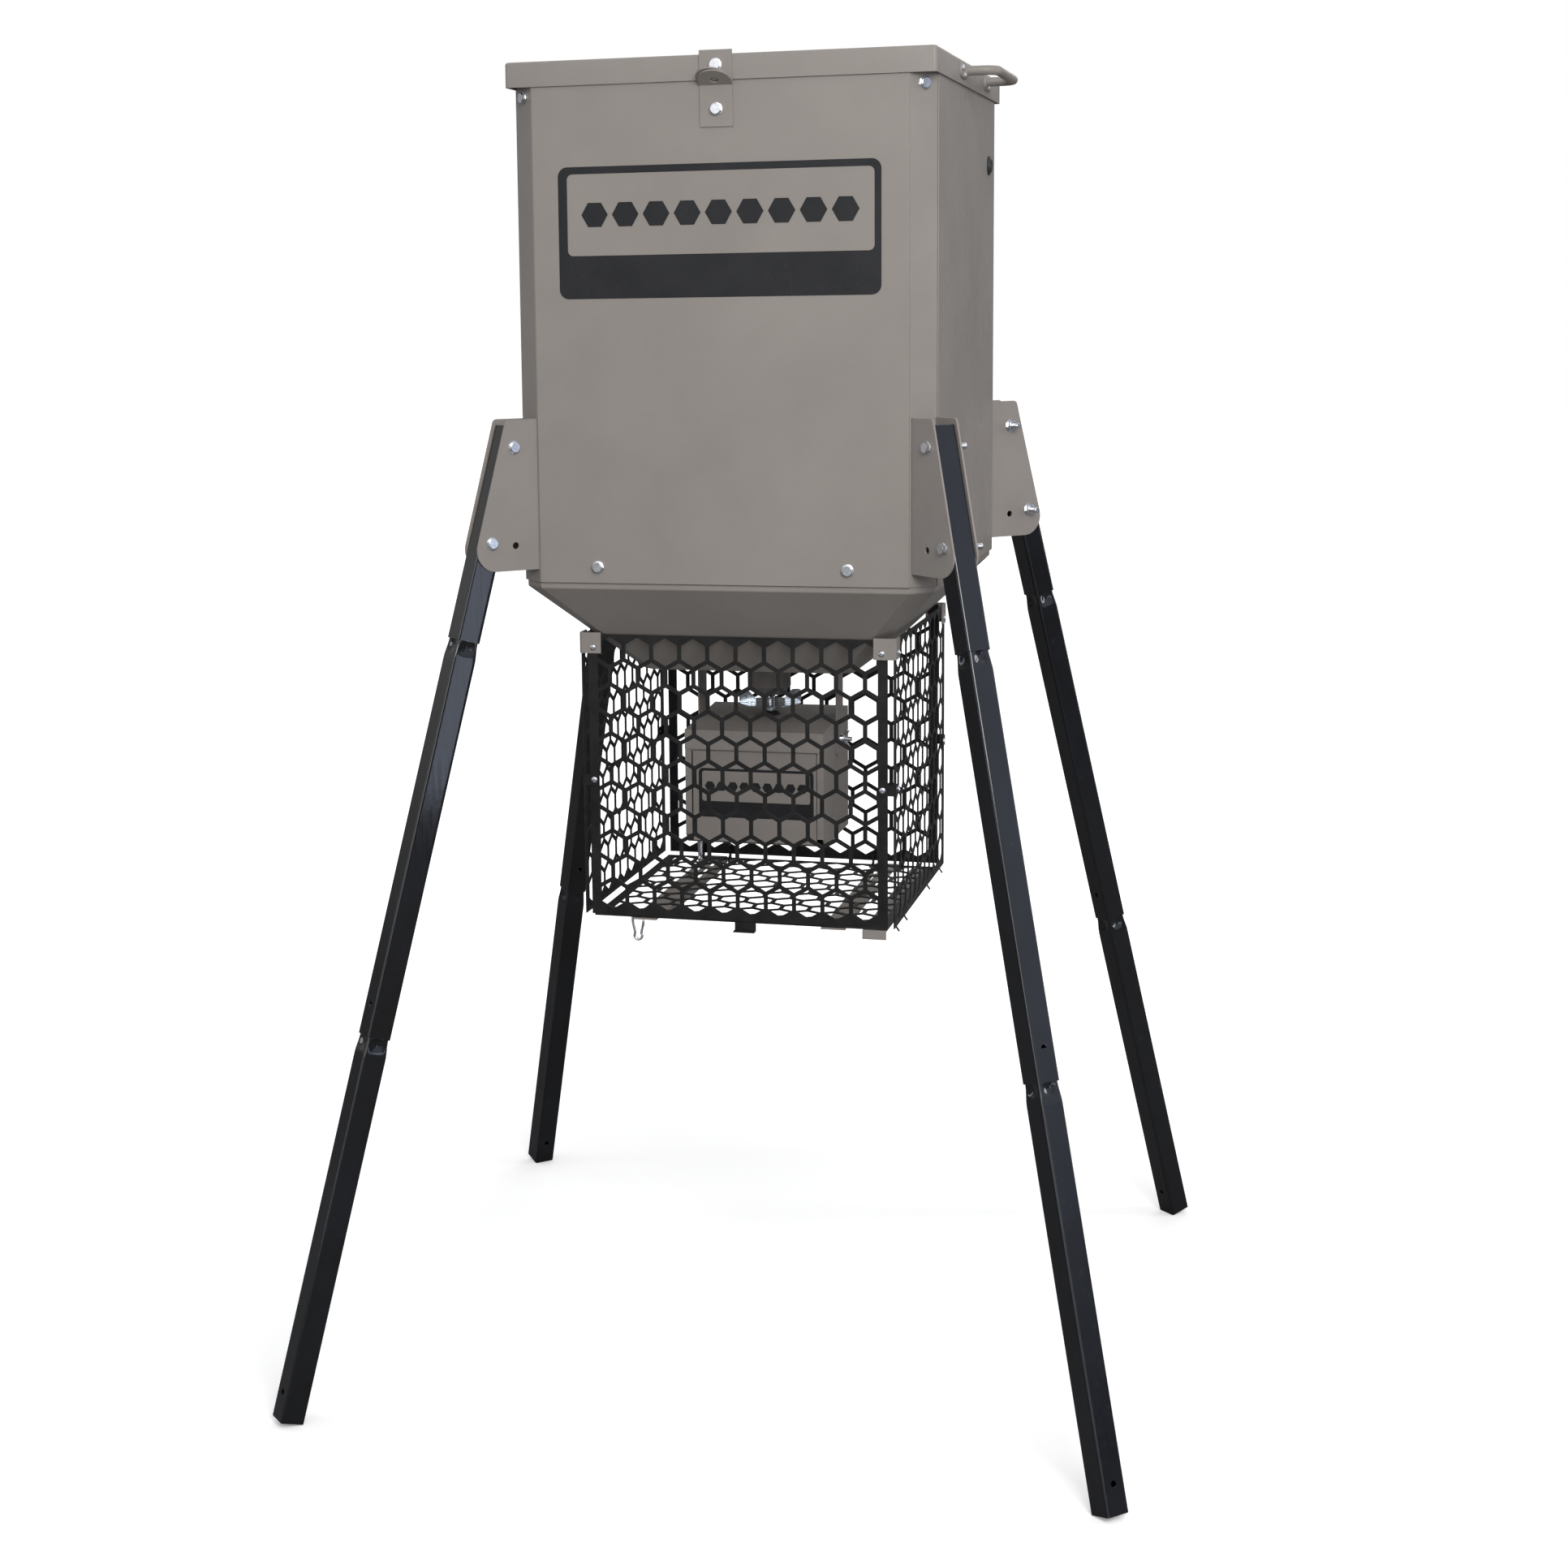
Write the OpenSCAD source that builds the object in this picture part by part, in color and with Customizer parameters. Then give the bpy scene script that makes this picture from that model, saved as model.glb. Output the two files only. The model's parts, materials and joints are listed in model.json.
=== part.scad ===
// Spin cast feeder: a square sheet-steel hopper on four splayed legs, with a lift-off lid,
// a funnel, a motor-driven spinner, a control box and a hexagon-mesh cage around them.
// Millimetres. +Z is up, the front faces -Y, and the origin is on the ground under the hopper's centre.

/* [Hopper] */
// Width of the square hopper across its flat sides
hopper_w = 533; // [500:1:560]
// Height of the side panels from their lower edge to the lid's lower edge
hopper_h = 614.5; // [450:0.5:700]
// Leg of the 45 degree cut on each vertical corner
corner_cut = 30.4; // [26:0.2:36]
// Thickness of the hopper's sheet steel
sheet_t = 1.6; // [1.2:0.1:2]

/* [Lid] */
// Height of the lid's skirt
skirt_h = 30.7; // [24:0.1:40]
// Clearance between the hopper and the inside of the skirt
lid_gap = 1.3; // [0.8:0.1:3]
// Diameter of the handle rod
handle_rod_d = 12; // [8:0.5:14]
// Distance between the two legs of a handle
handle_span = 174; // [120:1:220]
// How far a handle sits towards the back of the lid
handle_shift = 35; // [0:1:60]
// Distance from the skirt to the middle of the handle's grip
handle_reach = 40; // [32:1:60]

/* [Funnel] */
// Half width of the funnel's rim
rim_half = 263; // [261:0.2:263]
// Half width of the funnel's flat floor
floor_half = 140; // [120:1:160]
// Height of the plain band below the side panels
rim_drop = 8; // [6:1:8]
// Depth from the side panels' lower edge to the funnel's floor
funnel_drop = 127; // [118:1:127]
// Outer radius of the spout under the funnel
spout_r = 28; // [24:1:34]

/* [Legs] */
// Outside width of the square leg tube
tube_w = 31.75; // [28:0.25:32]
// Wall of the leg tube
tube_t = 1.5; // [1.2:0.1:2]
// Angle of each leg from the vertical, in its diagonal plane
splay = 15.6; // [13:0.1:17]
// Distance along the leg from the top bolt to the first joint
joint_1 = 251; // [220:1:280]
// Distance along the leg from the top bolt to the second joint
joint_2 = 765; // [700:1:820]
// Distance along the leg from the top bolt to the foot
leg_end = 1264.5; // [1100:0.5:1400]
// Distance along the leg between its two bracket bolts
bolt_pitch = 124; // [110:1:130]
// Radius of the stake hole near each foot
stake_hole_r = 3.75; // [3:0.25:5]

/* [Cage] */
// Width of each mesh panel
cage_w = 394; // [380:1:400]
// Height of each mesh panel
cage_h = 371.5; // [368:0.5:378]
// Depth from the side panels' lower edge to the top of the mesh
cage_drop = 74.5; // [74.5:0.5:78]
// Distance between the hexagons' middles
hex_pitch = 37.3; // [36:0.1:38]
// Width of the strands between the hexagons
strand = 5.5; // [3:0.1:6]
// Thickness of the mesh sheet
mesh_t = 1.6; // [1.2:0.1:2.5]

/* [Control box] */
// Width of the control box
box_w = 188; // [170:1:190]
// Front face of the control box, measured forward of the motor shaft
box_front = 100; // [90:1:104]
// Back face of the control box, measured behind the motor shaft
box_back = 66; // [60:1:80]
// Height of the control box at its front
box_h = 154; // [140:1:160]
// Radius of the motor shaft
shaft_r = 4; // [3:0.5:5]
// Radial running clearance of every pin and shaft
running = 0.08; // [0.05:0.01:0.1]
// Radius of the spinner plate
spinner_r = 42; // [36:1:44]

/* [Hidden] */
$fn = 64;

// Colours
taupe = [0.59, 0.56, 0.54];
black = [0.09, 0.09, 0.10];
zinc = [0.78, 0.78, 0.80];

// The ground is level with the lowest edge of the feet
base_z = leg_end * cos(splay) + tube_w / 2 * sin(splay) - 172;
half_w = hopper_w / 2;
seam_x = half_w - corner_cut;
face_d = (hopper_w - corner_cut) / sqrt(2);
diag_sum = hopper_w - corner_cut;
skirt_z = base_z + hopper_h;
lid_half = half_w + lid_gap + 1.5;
lid_t = 1.5;
rest_gap = 0.3;
panel_top = hopper_h + skirt_h - lid_t - rest_gap;
lap_in = half_w - sheet_t;
hasp_t = 2;
hasp_w = 41;
hasp_reach = 30;
hasp_bolt_drop = 34.5;
lid_hasp_bolt_up = 17.5;
padlock_out = 10.5;
// Both padlock tabs slope up and outward; the lid's lies above the hopper's
tab_angle = 30;
tab_z = skirt_z - 4;
lid_tab_z = skirt_z - 1.5;
tab_lead = (lid_half - half_w) * cos(tab_angle) + (lid_tab_z - tab_z) * sin(tab_angle);
seam_bolt_x = 160;
seam_bolt_up = 20;
corner_bolt_up = 603;
panel_bolt_r = 4;
panel_hole_r = 4.1;
hex_af = 12.7;
hex_head_h = 5.2;
plug_at = [179, base_z + 526.5];

// Funnel corners run to one point on the axis, so every seam lies in a vertical plane
rim_cut = 2 * rim_half - (diag_sum - sheet_t * sqrt(2) - 0.2);
rim_seam = rim_half - rim_cut;
floor_cut = rim_cut * floor_half / rim_half;
slope_run = rim_half - floor_half;
slope_drop = funnel_drop - rim_drop;
floor_z = base_z - funnel_drop;
lap_up = 35;

// Leg brackets, in a frame whose x runs outward from the corner's flat and z from the panels' edge
flange_t = 2.5;
flange_in = tube_w / 2 + 0.22;
bracket_bottom = 16.3;
bracket_top = 206.4;
top_bolt = [33, 172];
bolt_r = 3.97;
bolt_hole_r = 4.3;
nose = [60, 43.3];
nose_r = 27;
insert_w = tube_w - 2 * tube_t - 0.5;
insert_len = 40;
crimp_len = 26;
hole_up = 36;

// Cage
cage_z = base_z - cage_drop;
cage_front_y = 197;
cage_side_x = 206;
hex_r = (hex_pitch - strand) / sqrt(3);
hex_row = hex_pitch * sqrt(3) / 2;
hex_rows = 11;
mesh_border = 12.7;
top_clip_t = 2;
top_screw_in = 16.5;
top_screw_drop = 17;
side_clip_t = 1.6;
side_screw_in = 15.5;
side_screw_drop = 192;
cage_screw_r = 2;
mesh_low = cage_z - cage_h;
hinge_y = 187;
hinge_z = mesh_low - 7;
hinge_r = 3;
bar_x = 125.5;
bar_w = 32;
floor_t = 1.6;
floor_top = mesh_low - 1.6;
bar_t = 1.8;
edge_strip_x = 164;
hook_y = 9 - cage_front_y;
hook_hole_r = 3.5;
// The hook's closed side hangs just past the left bar's edge
hook_x = bar_x + 4.5;

// Control box
box_t = 1.5;
box_top = base_z - 213;
box_low = box_top - box_h;
box_half = box_w / 2;
roof_rise = 12;
roof_angle = atan(roof_rise / (box_front + box_back));
lip_h = 26;
strap_t = 2.2;
strap_w = 40;
strap_low = base_z - 258;
strap_inner = 66;
strap_bolts = [[-80, -10], [-80, 10], [80, -10], [80, 10]];
strap_hole_r = 3.1;
wing_z = base_z - 236;
stud_r = 3;
door_pin_z = box_top - lip_h - 2;
door_pin_y = -box_front + 6;
door_pin_r = 2;
door_face_y = -box_front + 2.2;
door_half = 84;

// Inside the control box
motor_r = 19;
motor_h = 52;
roof_mid_z = box_top + box_front * tan(roof_angle);
button_r = 4;
button_pitch = 26;
button_drop = 20;
display_w = 60;
display_h = 24;
display_up = 2;
timer_y = -60;
timer_z = box_low + 78;

module each_corner() {
    for (a = [45, 135, 225, 315]) rotate([0, 0, a]) children();
}

// Front and back corners are mirror images, so bolt heads face the front and the back
module corner_of(a) {
    flip = (a == 45 || a == 225) ? 1 : 0;
    rotate([0, 0, a]) mirror([0, flip, 0]) children();
}

module side_of(a) {
    rotate([0, 0, a]) children();
}

// A flat outline in Y and Z drawn out along X
module along_x(length) {
    rotate([90, 0, 90]) linear_extrude(length, center = true) children();
}

// Points along an arc about c, from angle a to angle b
function arc(c, r, a, b, steps = 10) =
    [for (i = [0 : steps]) c + r * [cos(a + (b - a) * i / steps), sin(a + (b - a) * i / steps)]];

module rounded_rect(w, h, r, steps = 10) {
    x = w / 2 - r;
    y = h / 2 - r;
    polygon(concat(
        arc([x, y], r, 0, 90, steps), arc([-x, y], r, 90, 180, steps),
        arc([-x, -y], r, 180, 270, steps), arc([x, -y], r, 270, 360, steps)
    ));
}

// Round wire swept along points in the XZ plane, as one closed surface
module swept_wire(path, r, closed = false, sides = 12) {
    n = len(path);
    last = n - 1;
    function tangent(i) =
        let (a = closed ? path[(i + n - 1) % n] : path[max(i - 1, 0)],
             b = closed ? path[(i + 1) % n] : path[min(i + 1, last)])
        (b - a) / norm(b - a);
    points = [
        for (i = [0 : last], k = [0 : sides - 1])
            let (t = tangent(i), c = r * cos(k * 360 / sides), d = r * sin(k * 360 / sides))
            [path[i][0] - t[1] * c, d, path[i][1] + t[0] * c]
    ];
    rings = closed ? n : last;
    walls = [
        for (i = [0 : rings - 1], k = [0 : sides - 1])
            let (j = (i + 1) % n, m = (k + 1) % sides)
            [i * sides + k, i * sides + m, j * sides + m, j * sides + k]
    ];
    caps = closed ? [] : [
        [for (k = [sides - 1 : -1 : 0]) k],
        [for (k = [0 : sides - 1]) last * sides + k]
    ];
    polyhedron(points, concat(walls, caps));
}

module hex_prism(af, h) {
    cylinder(h = h, r = af / sqrt(3), $fn = 6);
}

// Bolt with a washer face under a hexagon head; it points down from z = 0
module hex_bolt(r, af, head_h, length) {
    hex_prism(af, head_h);
    cylinder(h = 0.8, r = af * 0.62);
    translate([0, 0, -length]) cylinder(h = length + 0.01, r = r);
}

module panel_bolt() {
    hex_bolt(panel_bolt_r, hex_af, hex_head_h, 9);
}

module pan_screw(r, length) {
    cylinder(h = 2.2, r1 = r * 2.1, r2 = r * 1.5);
    translate([0, 0, -length]) cylinder(h = length + 0.01, r = r);
}

// ---- Hopper ----

module flat_panel(a) {
    color(taupe) side_of(a)
        translate([-seam_x, -half_w, base_z]) difference() {
            cube([2 * seam_x, sheet_t, panel_top]);
            if (a == 0 || a == 180)
                for (p = [
                    [-seam_bolt_x, seam_bolt_up], [seam_bolt_x, seam_bolt_up],
                    [0, hopper_h - hasp_bolt_drop]
                ])
                    translate([seam_x + p[0], -1, p[1]]) rotate([-90, 0, 0])
                        cylinder(h = 5, r = panel_hole_r);
        }
}

module front_panel() { flat_panel(0); }
module back_panel() { flat_panel(180); }
module left_panel() { flat_panel(270); }

module right_panel() {
    color(taupe) difference() {
        flat_panel(90);
        translate([half_w - 5, plug_at[0], plug_at[1]]) rotate([0, 90, 0]) cylinder(h = 10, r = 9.6);
    }
}

// Each post fills the cut corner and laps behind both neighbouring panels
module corner_post_outline() {
    lap = 22;
    out = lap_in;
    in = lap_in - sheet_t;
    inner_sum = diag_sum - sheet_t * sqrt(2);
    polygon([
        [seam_x - lap, -out], [diag_sum - out, -out], [out, -(diag_sum - out)], [out, -(seam_x - lap)],
        [in, -(seam_x - lap)], [in, -(inner_sum - in)], [inner_sum - in, -in], [seam_x - lap, -in]
    ]);
}

module corner_posts() {
    color(taupe) for (a = [0, 90, 180, 270])
        side_of(a) difference() {
            translate([0, 0, base_z]) linear_extrude(panel_top) corner_post_outline();
            rotate([0, 0, -45]) translate([face_d - 10, 0, base_z + corner_bolt_up])
                rotate([0, 90, 0]) cylinder(h = 20, r = panel_hole_r);
        }
}

module panel_bolts() {
    color(zinc) {
        for (a = [0, 180], x = [-seam_bolt_x, seam_bolt_x])
            side_of(a) translate([x, -half_w, base_z + seam_bolt_up]) rotate([90, 0, 0]) panel_bolt();
        each_corner() translate([face_d, 0, base_z + corner_bolt_up]) rotate([0, 90, 0]) panel_bolt();
        for (a = [0, 180])
            side_of(a) translate([0, -half_w - hasp_t, skirt_z - hasp_bolt_drop]) rotate([90, 0, 0])
                panel_bolt();
        for (p = strap_bolts) translate([p[0], p[1], floor_z - strap_t]) rotate([180, 0, 0])
            hex_bolt(3, 10, 3.6, 7.5);
    }
}

module side_plug() {
    color(black) translate([half_w, plug_at[0], plug_at[1]]) rotate([0, 90, 0]) difference() {
        union() {
            cylinder(h = 2.4, r = 12.5);
            translate([0, 0, 2.3]) cylinder(h = 2.6, r1 = 10.2, r2 = 8.6);
            translate([0, 0, -4]) cylinder(h = 4.1, r = 9.4);
        }
        translate([0, 0, 2.9]) cylinder(h = 3, r = 6);
    }
}

module front_label() {
    w = 405.8;
    h = 161.3;
    cell = 34;
    color(black) translate([-0.6, -half_w, base_z + 435.4]) rotate([90, 0, 0])
        linear_extrude(0.5) union() {
            difference() {
                rounded_rect(w, h, 12);
                translate([1.6, 22]) rounded_rect(386, 99.8, 7);
            }
            for (i = [-4 : 4]) translate([1.6 + i * cell * 1.16, 22]) circle(cell / 2, $fn = 6);
        }
}

// ---- Funnel ----

// Sector between two vertical planes through the axis
module wedge(x, y) {
    k = 1.3;
    linear_extrude(4 * base_z, center = true) polygon([[0, 0], [-x * k, -y * k], [x * k, -y * k]]);
}

// Band and slope in the plane of distance and height; run is the slope's horizontal length
module slope_outline(rim_d, run) {
    pitch = atan(slope_drop / run);
    shift = sheet_t / sin(pitch);
    z0 = base_z - rim_drop;
    z1 = base_z - funnel_drop;
    zi = z0 + (shift - sheet_t) * tan(pitch);
    polygon([
        [-rim_d, base_z + lap_up], [-rim_d, z0], [-rim_d + run, z1], [-rim_d + run + shift, z1],
        [-rim_d + sheet_t, zi], [-rim_d + sheet_t, base_z + lap_up]
    ]);
}

module funnel_side(a) {
    color(taupe) side_of(a) difference() {
        intersection() {
            along_x(2 * rim_seam + 20) slope_outline(rim_half, slope_run);
            wedge(rim_seam, rim_half);
        }
        if (a == 0 || a == 180)
            for (x = [-seam_bolt_x, seam_bolt_x])
                translate([x, -rim_half - 3, base_z + seam_bolt_up]) rotate([-90, 0, 0])
                    cylinder(h = 8, r = panel_hole_r);
    }
}

module funnel_front() { funnel_side(0); }
module funnel_back() { funnel_side(180); }
module funnel_left() { funnel_side(270); }
module funnel_right() { funnel_side(90); }

module funnel_corners() {
    rim_d = (2 * rim_half - rim_cut) / sqrt(2);
    run = rim_d * (1 - floor_half / rim_half);
    half_face = rim_cut / sqrt(2);
    color(taupe) for (a = [45, 135, 225, 315]) side_of(a) intersection() {
        along_x(3 * half_face) slope_outline(rim_d, run);
        wedge(half_face, rim_d);
    }
}

module funnel_floor() {
    h = floor_half - 2.4;
    c = floor_cut;
    color(taupe) translate([0, 0, floor_z]) linear_extrude(sheet_t) difference() {
        polygon([
            [h, h - c], [h - c, h], [c - h, h], [-h, h - c],
            [-h, c - h], [c - h, -h], [h - c, -h], [h, c - h]
        ]);
        circle(spout_r);
        for (p = strap_bolts) translate(p) circle(strap_hole_r);
    }
}

module spout() {
    t = 1.5;
    color(taupe) translate([0, 0, floor_z]) rotate_extrude() polygon([
        [spout_r - 0.02 - t, sheet_t + t], [spout_r + 9, sheet_t + t], [spout_r + 9, sheet_t],
        [spout_r - 0.02, sheet_t], [spout_r - 0.02, -39], [17, -50], [17 - t, -50],
        [spout_r - 0.02 - t, -39]
    ]);
}

module hanger_straps() {
    color(taupe) for (s = [0, 1]) mirror([s, 0, 0]) {
        difference() {
            translate([strap_inner, -strap_w / 2, floor_z - strap_t])
                cube([box_half + strap_t - strap_inner, strap_w, strap_t]);
            for (p = strap_bolts) translate([p[0], p[1], floor_z - 5]) cylinder(h = 8, r = strap_hole_r);
        }
        translate([box_half, 0, 0]) rotate([90, 0, 90]) linear_extrude(strap_t) difference() {
            polygon(concat(
                [[strap_w / 2, floor_z - strap_t + 0.01], [-strap_w / 2, floor_z - strap_t + 0.01]],
                arc([8 - strap_w / 2, strap_low + 8], 8, 180, 270),
                arc([strap_w / 2 - 8, strap_low + 8], 8, 270, 360)
            ));
            translate([0, wing_z]) circle(stud_r + 0.3);
        }
    }
}

// ---- Legs ----

module flange_outline() {
    top_r = 6;
    top = [45 - top_r, bracket_top - top_r];
    to_top = top - nose;
    // Outer edge is a common tangent of the nose and the rounded top corner
    t_angle = atan2(to_top[1], to_top[0]) - acos((nose_r - top_r) / norm(to_top));
    difference() {
        polygon(concat(
            [[0, bracket_bottom]], arc(nose, nose_r, -90, t_angle, 16),
            arc(top, top_r, t_angle, 90, 8), [[0, bracket_top]]
        ));
        translate(top_bolt) circle(bolt_hole_r);
        translate(top_bolt - [0, bolt_pitch]) circle(bolt_hole_r);
        translate(top_bolt + bolt_pitch * [sin(splay), -cos(splay)]) circle(bolt_hole_r);
    }
}

module bracket(a) {
    color(taupe) corner_of(a) translate([face_d, 0, base_z]) {
        translate([0, -flange_in - flange_t, bracket_bottom])
            cube([flange_t, 2 * (flange_in + flange_t), bracket_top - bracket_bottom]);
        for (s = [0, 1]) mirror([0, s, 0])
            translate([0, flange_in + flange_t, 0]) rotate([90, 0, 0]) linear_extrude(flange_t)
                flange_outline();
    }
}

module front_left_bracket() { bracket(225); }
module front_right_bracket() { bracket(315); }
module back_left_bracket() { bracket(135); }
module back_right_bracket() { bracket(45); }

// Frame on the leg's own axis: the origin is the top bolt and -Z runs down the leg
module leg_frame(a) {
    corner_of(a) translate([face_d + top_bolt[0], 0, base_z + top_bolt[1]]) rotate([0, -splay, 0])
        children();
}

module tube(from, to, inner) {
    translate([-tube_w / 2, -tube_w / 2, -to]) difference() {
        cube([tube_w, tube_w, to - from]);
        translate([tube_t, tube_t, -1]) cube([inner, inner, to - from + 2]);
    }
}

module cross_hole(s, r) {
    translate([0, 0, -s]) rotate([90, 0, 0]) cylinder(h = 60, r = r, center = true);
}

module radial_hole(s, r) {
    translate([0, 0, -s]) rotate([0, 90, 0]) cylinder(h = 60, r = r, center = true);
}

// Square frustum between two widths, standing on its lower end
module taper(w_low, w_high, h) {
    hull() {
        cube([w_low, w_low, 0.02], center = true);
        translate([0, 0, h]) cube([w_high, w_high, 0.02], center = true);
    }
}

// Section of a leg whose swaged top slides into the section above it
module swaged_section(joint, to, hole_s) {
    wall_in = insert_w - 2 * tube_t;
    difference() {
        union() {
            translate([-tube_w / 2, -tube_w / 2, -to]) cube([tube_w, tube_w, to - joint - crimp_len]);
            translate([0, 0, -joint - crimp_len - 0.01]) taper(tube_w, insert_w + 0.3, crimp_len);
            translate([-insert_w / 2, -insert_w / 2, -joint - 0.2])
                cube([insert_w, insert_w, insert_len]);
        }
        translate([-wall_in / 2, -wall_in / 2, -joint - crimp_len]) cube([wall_in, wall_in, 100]);
        translate([tube_t - tube_w / 2, tube_t - tube_w / 2, -to - 1])
            cube([tube_w - 2 * tube_t, tube_w - 2 * tube_t, to - joint - crimp_len - 1]);
        radial_hole(hole_s, stake_hole_r);
    }
}

module upper_legs() {
    color(black) for (a = [45, 135, 225, 315]) leg_frame(a) difference() {
        tube(-24, joint_1, tube_w - 2 * tube_t);
        cross_hole(0, bolt_hole_r);
        cross_hole(bolt_pitch, bolt_hole_r);
    }
}

module middle_legs() {
    color(black) for (a = [45, 135, 225, 315]) leg_frame(a)
        swaged_section(joint_1, joint_2, joint_2 - hole_up - 5);
}

module lower_legs() {
    color(black) for (a = [45, 135, 225, 315]) leg_frame(a)
        swaged_section(joint_2, leg_end, leg_end - hole_up);
}

module leg_bolts() {
    y = flange_in + flange_t;
    color(zinc) for (a = [45, 135, 225, 315], s = [0, bolt_pitch]) leg_frame(a)
        translate([0, -y, -s]) rotate([90, 0, 0]) rotate([0, 0, 15])
            hex_bolt(bolt_r, hex_af, hex_head_h, 2 * y + 20);
}

module leg_nuts() {
    y = flange_in + flange_t;
    color(zinc) for (a = [45, 135, 225, 315], s = [0, bolt_pitch]) leg_frame(a)
        translate([0, y, -s]) rotate([-90, 0, 0]) difference() {
            union() {
                cylinder(h = 1.2, r = 8.6);
                translate([0, 0, 1.1]) hex_prism(hex_af, 6.6);
            }
            translate([0, 0, -1]) cylinder(h = 12, r = bolt_r + 0.02);
        }
}

// ---- Hasps ----

// Half-round tab with a hole for a padlock's shackle, its root run a little into the plate behind it
module padlock_tab(reach, hole) {
    r = hasp_w / 2;
    root = 1.2;
    rotate([-tab_angle, 0, 0]) linear_extrude(hasp_t) difference() {
        polygon(concat([[r, root], [-r, root]], arc([0, r - reach], r, 180, 360, 20)));
        translate(hole) circle(5.5);
    }
}

// Flat plate bolted to the hopper, its tab turned out at the top
module body_hasps() {
    low = skirt_z - 55.5;
    drop = hasp_t / cos(tab_angle);
    color(taupe) for (a = [0, 180]) side_of(a) difference() {
        translate([0, -half_w - hasp_t, 0]) union() {
            translate([-hasp_w / 2, 0, low]) cube([hasp_w, hasp_t, tab_z - low]);
            translate([0, 0, tab_z - drop]) padlock_tab(hasp_reach, [0, -padlock_out]);
        }
        translate([0, -half_w - 5, skirt_z - hasp_bolt_drop]) rotate([-90, 0, 0])
            cylinder(h = 8, r = panel_hole_r);
    }
}

// ---- Cage ----

// One pointed-top hexagon hole, cut short by the upright borders at x = low and x = high
function hex_hole(cx, cy, low, high) =
    let (half = hex_r * cos(30), rise = hex_r / 2,
         edge = cx < (low + high) / 2 ? low : high, s = cx < (low + high) / 2 ? -1 : 1,
         cut = s * (cx - edge) > -half, reach = hex_r - abs(edge - cx) * tan(30),
         past = s * (cx - edge) < 0)
    cut
        ? concat(
            [[cx - s * half, cy - rise], [cx - s * half, cy + rise]], past ? [[cx, cy + hex_r]] : [],
            [[edge, cy + reach], [edge, cy - reach]], past ? [[cx, cy - hex_r]] : [])
        : [for (a = [30 : 60 : 330]) [cx + hex_r * cos(a), cy + hex_r * sin(a)]];

// Sheet with rows of hexagon holes, counted down from its top edge
module mesh_sheet(w, h, border_top, thickness) {
    half_n = ceil(w / hex_pitch / 2);
    low = mesh_border;
    high = w - mesh_border;
    holes = [
        for (row = [0 : hex_rows - 1], i = [-half_n : half_n])
            let (cx = w / 2 + (i + (row % 2 == 0 ? 0.5 : 0)) * hex_pitch,
                 cy = h - border_top - hex_r - row * hex_row)
            if (cx > low - hex_pitch * 0.42 && cx < high + hex_pitch * 0.42) hex_hole(cx, cy, low, high)
    ];
    starts = [for (i = 0, at = 4; i <= len(holes) - 1; at = at + len(holes[i]), i = i + 1) at];
    outline = [[0, 0], [w, 0], [w, h], [0, h]];
    linear_extrude(thickness) polygon(
        concat(outline, [for (hole = holes) each hole]),
        concat([[0, 1, 2, 3]], [
            for (i = [0 : len(holes) - 1]) [for (k = [0 : len(holes[i]) - 1]) starts[i] + k]
        ])
    );
}

module cage_panel(a, offset) {
    color(black) side_of(a) translate([-cage_w / 2, -offset, mesh_low]) rotate([90, 0, 0])
        translate([0, 0, -mesh_t]) mesh_sheet(cage_w, cage_h, 3.5, mesh_t);
}

module cage_front() { cage_panel(0, cage_front_y); }

module cage_back() {
    cage_panel(180, cage_front_y);
    // Lugs that hold the floor's hinge pins
    color(black) for (s = [-1, 1], e = [-1, 1])
        translate([s * bar_x + e * (bar_w / 2 + 4) - 1, 0, 0]) rotate([90, 0, 90]) linear_extrude(2)
            difference() {
                union() {
                    translate([hinge_y, hinge_z]) circle(6.5);
                    translate([hinge_y, hinge_z]) square([cage_front_y - mesh_t - hinge_y, 22]);
                }
                translate([hinge_y, hinge_z]) circle(hinge_r);
            }
}

module cage_left() { cage_panel(270, cage_side_x); }

module cage_right() {
    cage_panel(90, cage_side_x);
    // Cut strand ends left bent outward along the lower edge
    color(black) for (y = [-180, -120, 60, 165])
        translate([cage_side_x - 1, y, mesh_low + 0.5]) rotate([0, 145, 0])
            translate([0, -1.5, 0]) cube([mesh_t, 3, 8]);
}

// Angle clip bridging a front or back panel to the side panel next to it
module corner_clip(z, h, lap, t) {
    x = cage_side_x + t;
    y = cage_front_y + t;
    translate([0, 0, z]) linear_extrude(h)
        polygon([
            [x - lap, -y], [x - 3, -y], [x, 3 - y], [x, lap - y],
            [x - t, lap - y], [x - t, t - y], [x - lap, t - y]
        ]);
}

// The four corners of the cage, drawn as the front right one
module each_cage_corner() {
    for (mx = [0, 1], my = [0, 1]) mirror([mx, 0, 0]) mirror([0, my, 0]) children();
}

// Corner clip with a screw hole in each leg, at a distance in from the corner
module drilled_clip(z, h, lap, t, hole_in, hole_z) {
    hole_r = 2.2;
    difference() {
        corner_clip(z, h, lap, t);
        translate([cage_side_x - hole_in, -cage_front_y - 5, hole_z]) rotate([-90, 0, 0])
            cylinder(h = 8, r = hole_r);
        translate([cage_side_x - 5, hole_in - cage_front_y, hole_z]) rotate([0, 90, 0])
            cylinder(h = 10, r = hole_r);
    }
}

module cage_top_clips() {
    color(taupe) each_cage_corner()
        drilled_clip(cage_z - 25, 27.3, 29, top_clip_t, top_screw_in, cage_z - top_screw_drop);
}

module cage_side_clips() {
    color(black) each_cage_corner()
        drilled_clip(cage_z - 199, 14, 22, side_clip_t, side_screw_in, cage_z - side_screw_drop);
}

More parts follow.
